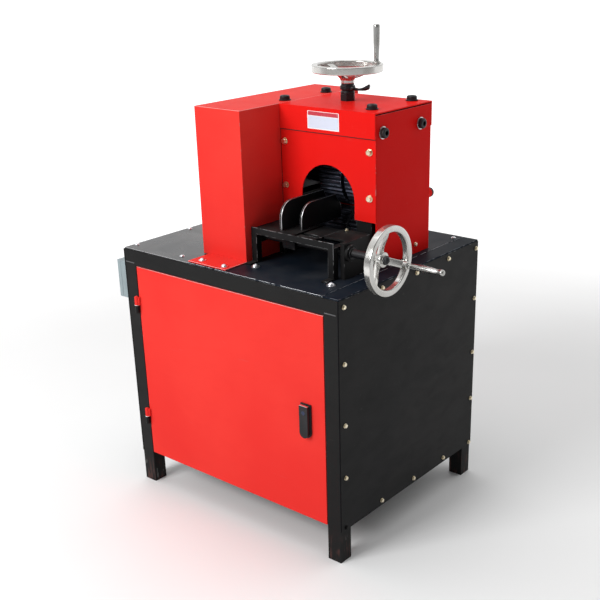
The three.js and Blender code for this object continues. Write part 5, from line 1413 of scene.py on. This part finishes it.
@dataclass
class Head:
    """Side plates, crown, sheet covers and the guard of the drive."""

    top: float = 1060.3
    crown_x: Pair = (345.5, 614.5)
    crown_y: Pair = (269.0, 431.0)
    crown_bite: float = 58.0
    side_feet: tuple[Point, Point] = ((657.3, 252.0, 1013.0), (657.3, 406.0, 1013.0))
    side_bite: float = 34.0
    boss_foot: Point = (643.0, 466.4, 829.0)
    boss_bite: float = 1.0
    cover_screws: tuple[Pair, ...] = ((380.0, 970.0), (640.0, 970.0), (380.0, 861.0), (640.0, 861.0))
    cover_y: Pair = (225.2, 456.2)
    right_bolt: Point = (657.0, 392.0, 713.5)
    flange_feet: tuple[Point, Point] = ((268.0, 27.0, 692.6), (348.0, 22.0, 692.6))
    # Dark strip under the front band, standing for the shade of its lower edge as painted shadow.
    shadow_strip_low: Point = (367.6, 222.9, 999.0)
    shadow_strip_high: Point = (656.6, 225.2, 1001.0)
    label_start: float = 487.0
    label_x: Pair = (457.0, 553.0)
    label_z: Pair = (1009.0, 1051.0)
    label_y: float = 222.05
    label_thickness: float = 0.35

    def sheets(self) -> None:
        """Coats the plates that carry the rollers and the red sheets."""
        dress(BLACK, "left_side_plate", "right_side_plate", "crown_plate", edge=1.2, shortest=6.0)
        dress(HEAD_RED, "front_cover", "rear_cover", edge=0.9, shortest=4.0)
        dress(RED_PAINTED_SHADE, "right_cover", edge=0.9, shortest=4.0)
        dress(HEAD_RED, "top_cap", edge=2.2, segments=4, shortest=6.0)
        dress(RED_PAINTED_SHEEN, "belt_guard", edge=2.2, segments=4, shortest=6.0)

    def screws(self) -> None:
        """Sets the cap screws with their washers."""
        crown = [(x, y, self.top) for x in self.crown_x for y in self.crown_y]
        for place, feet, facing, bite, washer in (
            ("crown", crown, Facing.UP, self.crown_bite, DARK_STEEL),
            ("side", self.side_feet, Facing.RIGHT, self.side_bite, STEEL),
        ):
            for number, foot in enumerate(feet, start=1):
                screw = CAP_SCREW.shape(bite).placed(foot, facing)
                screw.done(f"{place}_cap_screw_{number}", DARK_STEEL, "machine", f"{place}_screw_{number}")
            washers = [CAP_SCREW.disc().placed(foot, facing) for foot in feet]
            Workpiece().join(*washers).done(f"{place}_washers", washer)
        boss = BOSS_SCREW.shape(self.boss_bite).placed(self.boss_foot, Facing.BACK)
        boss.done("rear_boss_screw", DARK_STEEL)

    def bolts(self) -> None:
        """Sets the sheet bolts."""
        for name, y, facing in zip(("front", "rear"), self.cover_y, (Facing.FRONT, Facing.BACK)):
            COVER_BOLT.set(f"{name}_cover_bolts", ZINC, [(x, y, z) for x, z in self.cover_screws], facing)
        PANEL_BOLT.set("right_cover_bolt", ZINC, [self.right_bolt], Facing.RIGHT)
        FLANGE_SCREW.set("guard_flange_screws", WHITE_ZINC, self.flange_feet, Facing.UP)

    def front_band(self) -> None:
        """Lays a dark rubber strip under the front band as painted shadow of its lower edge, and sticks a
        blank film on it.
        """
        # Painted shadow: a dark strip stands for the shade under the front band's lower edge.
        Workpiece().block(self.shadow_strip_low, self.shadow_strip_high).rounded(0.3, 1).done("front_band_shadow_strip", RUBBER)
        (left, right), (low, high) = self.label_x, self.label_z
        start = (self.label_start, low)
        corners = [start, (right, low), (right, high), (left, high), (left, low), start]
        film = Workpiece().plate(eased(corners, 1.6)[:-1], self.label_thickness)
        film.placed((0.0, self.label_y, 0.0), Facing.FRONT).done("blank_label", LABEL)

    def build(self) -> None:
        """Builds the head."""
        self.sheets()
        self.screws()
        self.bolts()
        self.front_band()


@dataclass
class Rollers:
    """Ribbed rollers, the round blade and what carries them."""

    rib_edge: float = 0.45
    blade_edge: float = 0.2
    bearing_edge: float = 0.5
    block_edge: float = 0.8

    def build(self) -> None:
        """Coats the rollers and their bearings."""
        ribs = {"edge": self.rib_edge, "segments": 1, "shortest": 2.0}
        dress(ROLLER_STEEL_PAINTED_SHADE, "lower_roller_shaft", "lower_roller_clamp", **ribs)
        dress(ROLLER_STEEL, "upper_roller", **ribs)
        dress(STEEL, "round_blade", edge=self.blade_edge, segments=1)
        dress(STEEL, "left_roller_bearing", "right_roller_bearing", "pinion_bearing", edge=self.bearing_edge)
        dress(DARK_STEEL, "left_sliding_block", "right_sliding_block", "pressure_yoke", edge=self.block_edge)


@dataclass
class Drive:
    """Gears, pulleys, belts and the motor."""

    gear_edge: float = 0.3
    belt_edge: float = 0.5
    motor_edge: float = 0.8
    shaft_edge: float = 0.4

    def build(self) -> None:
        """Coats the drive."""
        dress(TURNED, "roller_gear", "pinion_shaft", edge=self.gear_edge, segments=1)
        dress(CAST, "large_pulley", edge=self.belt_edge)
        dress(RUBBER, "drive_belt_1", "drive_belt_2", edge=self.belt_edge)
        dress(BLACK, "motor_plate", edge=self.motor_edge)
        dress(CAST, "motor_body", edge=self.motor_edge, shortest=4.0)
        dress(TURNED, "motor_shaft", edge=self.shaft_edge)


class GripShape(Enum):
    """A grip's side, as pairs of radius and share of its length."""

    TAPER = (
        (6.4, 0.0), (6.5, 0.03), (6.2, 0.05), (6.2, 0.09), (6.8, 0.22), (7.6, 0.45), (8.2, 0.72), (8.5, 0.90),
        (8.4, 0.955), (7.2, 0.99), (5.2, 1.0), (0.0, 1.0),
    )
    BULB = (
        (6.8, 0.0), (7.2, 0.012), (7.2, 0.038), (6.2, 0.055), (5.9, 0.085), (6.8, 0.17), (7.7, 0.29),
        (8.0, 0.42), (7.6, 0.56), (6.8, 0.70), (5.9, 0.81), (6.0, 0.855), (7.1, 0.895), (7.7, 0.93),
        (7.5, 0.962), (6.2, 0.988), (4.6, 1.0), (0.0, 1.0),
    )


@dataclass
class Handwheel:
    """Three-spoked dished wheel with a revolving grip."""

    name: str
    foot: Point
    facing: Facing
    turn: float
    radius: float
    grip_length: float
    body: str
    grip_body: str
    grip_shape: GripShape = GripShape.TAPER
    grip_place: float = 0.81
    grip_gap: float = 0.3
    grip_bore: float = 3.4
    bore_depth: float = 0.86
    stud_radius: float = 3.0
    stud_length: float = 0.8
    boss_radius: float = 10.0
    boss_rise: float = 4.0
    hub_height: float = 26.0
    hub_foot: float = 15.5
    hub_top: float = 18.0
    bore: float = 9.3
    rim_top: float = 46.0
    rim_thick: float = 18.0
    rim_wide: float = 15.0
    rim_flat: float = 0.45
    spokes: int = 3
    spoke_steps: int = 20
    spoke_start: float = 12.0
    spoke_half: float = 10.0
    spoke_thick: float = 9.0
    waist: float = 0.12
    flare_share: float = 0.2
    hub_flare: float = 2.0
    rim_flare: float = 3.4
    end_nut: bool = False
    washer_radius: float = 11.5
    nut_radius: float = 9.0
    nut_height: float = 6.0
    dome_radius: float = 7.4
    dome_height: float = 5.0

    def rim(self) -> Workpiece:
        """Turns the rim.

        Returns:
            A flat outer band with a rounded inside.
        """
        low, high, outer = self.rim_top - self.rim_thick, self.rim_top, self.radius
        inner, middle = outer - self.rim_wide, outer - self.rim_wide * self.rim_flat
        band = eased(ring_profile(middle, outer, low, high), 2.6, 4)
        inside = eased(ring_profile(middle, inner, high, low), 6.0, 6)
        return Workpiece().spin([*band[:-1], *inside[:-1]], 128, closed=True)

    def hub(self) -> Workpiece:
        """Turns the hub.

        Returns:
            The hub, with its bore left to the shaft.
        """
        height = self.hub_height
        outline = [
            (self.bore, 0.3), (self.hub_foot, 0.3), (self.hub_foot, height * 0.35),
            (self.hub_top, height * 0.7), (self.hub_top, height), (self.bore, height),
        ]
        return Workpiece().spin(eased(outline, 2.2, 4))

    def spoke(self, turn: float) -> Workpiece:
        """Lofts one spoke from the hub to the rim.

        Args:
            turn: Its angle about the wheel, in degrees.

        Returns:
            The spoke.
        """
        start, end = self.spoke_start, self.radius - self.rim_wide * 0.5
        low, high = self.hub_height * 0.62, self.rim_top - self.rim_thick / 2
        upright = Matrix(((0, 0, 1, 0), (1, 0, 0, 0), (0, 1, 0, 0), (0, 0, 0, 1)))
        stations = []
        for step in range(self.spoke_steps + 1):
            share = step / self.spoke_steps
            bow = math.sin(math.pi * share)
            rise = low + (high - low) * (1 - math.cos(math.pi * share)) / 2
            near_hub = max(0.0, (self.flare_share - share) / self.flare_share)
            near_rim = max(0.0, (share - (1 - self.flare_share)) / self.flare_share)
            flare = self.rim_flare * near_rim**2 + self.hub_flare * near_hub**2
            half = self.spoke_half * (1 - self.waist * bow) + flare
            thick = self.spoke_thick / 2 + 0.35 * flare
            slope = math.atan2((high - low) * math.pi / 2 * bow, end - start)
            lay = Matrix.Rotation(-slope, 4, "Y") @ upright @ Matrix.Diagonal((half, thick, 1.0, 1.0))
            stations.append(Matrix.Translation((start + (end - start) * share, 0, rise)) @ lay)
        return Workpiece().loft(stations, 32, 0.5).placed((0, 0, 0), turn=turn)

    def boss(self) -> Workpiece:
        """Turns the boss and stud that carry the grip.

        Returns:
            Both, where the grip stands on the rim.
        """
        low, top = self.rim_top - self.rim_thick + 1.0, self.rim_top + self.boss_rise
        end = top + self.grip_length * self.stud_length
        outline = [
            (0, low), (self.boss_radius, low), (self.boss_radius, top), (self.stud_radius, top),
            (self.stud_radius, end), (0, end),
        ]
        return Workpiece().spin(eased(outline, 1.6), 48).placed((self.radius * self.grip_place, 0, 0))

    def grip(self) -> Workpiece:
        """Turns the grip.

        Returns:
            The grip, with its bore left to the stud.
        """
        base, bore = self.rim_top + self.boss_rise + self.grip_gap, self.grip_bore
        top = base + self.grip_length * self.bore_depth
        side = [(radius, base + self.grip_length * share) for radius, share in self.grip_shape.value]
        outline = [*eased([(bore, base), *side], 2.4), (0.0, top), (bore, top), (bore, base)]
        return Workpiece().spin(outline, 48).placed((self.radius * self.grip_place, 0, 0))

    def washer(self) -> Workpiece:
        """The washer on the hub's end."""
        section = ring_profile(0, self.washer_radius, self.hub_height - 1.0, self.hub_height + 2.4)
        return Workpiece().spin(eased(section, 0.7), 48)

    def nut(self) -> Workpiece:
        """Builds the domed hexagon nut.

        Returns:
            The nut, on the washer.
        """
        dome = [(self.dome_radius, self.nut_height - 0.4)]
        dome += dome_profile(self.dome_radius, self.dome_height, self.nut_height)
        nut = Workpiece().rod(self.nut_radius, self.nut_height, 6).rounded(0.9)
        return nut.join(Workpiece().spin(dome, 32)).placed((0, 0, self.hub_height + 2.0), turn=11.0)

    def build(self) -> None:
        """Builds the wheel and its grip, and the nut of a wheel that shows one."""
        spokes = [self.spoke(360.0 / self.spokes * number) for number in range(self.spokes)]
        wheel = self.rim().join(self.hub(), self.boss(), *spokes)
        pieces = [
            (wheel, "handwheel_casting", CHROME, self.body, [f"{self.name}_handwheel"]),
            (self.grip(), "revolving_grip", GRIP_CHROME, self.grip_body, [f"{self.name}_grip"]),
        ]
        if self.end_nut:
            pieces.append((self.washer(), "wheel_washer", CHROME, self.body, []))
            pieces.append((self.nut(), "wheel_nut", DARK_STEEL, self.body, []))
        for work, name, finish, body, nodes in pieces:
            work.placed(self.foot, self.facing, self.turn).done(f"{self.name}_{name}", finish, body, *nodes)


@dataclass
class PressureScrew:
    """Spindle on the crown with its nuts and handwheel."""

    axis: Pair = (480.0, 350.0)
    wheel_foot: float = 1101.0
    wheel_turn: float = 45.0
    nut_foot: float = 1076.3
    nut_bore: float = 12.6
    nut_radius: float = 18.9
    nut_height: float = 24.2
    lever_turn: float = 15.0
    lever_start: float = 12.0
    lever_length: float = 46.0
    lever_steps: int = 18
    screw_radius: float = 3.0
    screw_length: float = 9.0
    screw_foot: Point = (16.0, -9.0, 15.0)

    def lever(self) -> Workpiece:
        """Lofts the locking nut's lever.

        Returns:
            A bent bar that thins and ends in a knob.
        """
        lay = Matrix.Rotation(math.radians(90.0), 4, "Y")
        bar = []
        for step in range(self.lever_steps + 1):
            share = step / self.lever_steps
            rise = 12.5 - 3.0 * math.sin(math.pi * share * 0.9) + 7.5 * share**2.2
            thick = 5.2 - 2.3 * math.sin(math.pi * min(1.0, share * 1.35)) + 1.6 * max(0.0, share - 0.7) / 0.3
            thick *= 1.0 if share < 0.97 else 0.55
            place = Matrix.Translation((self.lever_start + self.lever_length * share, 0, rise))
            bar.append(place @ lay @ Matrix.Diagonal((thick, thick * 1.15, 1.0, 1.0)))
        return Workpiece().loft(bar, 20, 0.85)

    def lock_nut(self) -> Workpiece:
        """Turns the stepped nut and adds its lever and clamping screw.

        Returns:
            The nut, on the spindle.
        """
        bore, radius, height = self.nut_bore, self.nut_radius, self.nut_height
        foot, neck, crown = radius - 1.6, radius - 3.4, radius - 2.8
        steps = [
            (bore, 0), (foot, 0), (foot, 5.5), (neck, 7.0), (neck, 9.5), (radius, 11.0), (radius, 19.0),
            (crown, 20.5), (crown, height), (bore, height),
        ]
        screw = Workpiece().rod(self.screw_radius, self.screw_length, 24).rounded(0.5)
        nut = Workpiece().spin(eased(steps, 0.9, 2), 72)
        nut.join(self.lever(), screw.placed(self.screw_foot, Facing.FRONT))
        return nut.placed((*self.axis, self.nut_foot), turn=self.lever_turn)

    def build(self) -> None:
        """Builds the spindle's pieces."""
        dress(DARK_STEEL, "spindle_nut", edge=0.9)
        self.lock_nut().done("clamp_nut_body", DARK_STEEL, OWNER["lock_nut"], "lock_nut")
        dress(STEEL, "pressure_screw", edge=0.4)
        Handwheel(
            "top", (*self.axis, self.wheel_foot), Facing.UP, self.wheel_turn, 88.0, 86.0, "press_wheel",
            "press_grip", hub_foot=17.5, hub_top=24.0,
        ).build()


@dataclass
class Infeed:
    """Stand, table, guide and cross screw at the front of the head."""

    stand_feet: tuple[Point, Point] = ((405.0, 73.0, 689.3), (644.0, 70.0, 689.3))
    bracket_bolt: Point = (581.0, 212.0, 778.0)
    wheel_foot: Point = (720.0, 138.0, 752.0)
    wheel_turn: float = 68.0

    def build(self) -> None:
        """Builds the infeed."""
        dress(STAND_BLACK, "infeed_stand", edge=0.9)
        dress(STAND_BLACK, "infeed_table", edge=0.8)
        dress(OILED, "guide_carriage", edge=0.6)
        dress(WORN_BLACK, "left_guide_fin", "right_guide_fin", edge=1.0, shortest=1.5)
        dress(BLACK, "screw_bracket", edge=0.8)
        dress(SCREW_STEEL, "cross_screw", edge=0.4)
        FOOT_SCREW.set("stand_screws", WHITE_ZINC, self.stand_feet, Facing.UP)
        PANEL_BOLT.set("bracket_bolt", ZINC, [self.bracket_bolt], Facing.UP)
        Handwheel(
            "side", self.wheel_foot, Facing.RIGHT, self.wheel_turn, 82.0, 97.0, "cross_wheel", "cross_grip",
            GripShape.BULB, end_nut=True,
        ).build()


def main() -> None:
    """Builds the studio and every sub-assembly."""
    logging.basicConfig(level=logging.INFO, format="%(message)s")
    for part in (Studio, Cabinet, Door, ControlBox, Head, Rollers, Drive, PressureScrew, Infeed):
        log.info("building %s", part.__name__)
        part().build()


if __name__ == "__main__":
    main()
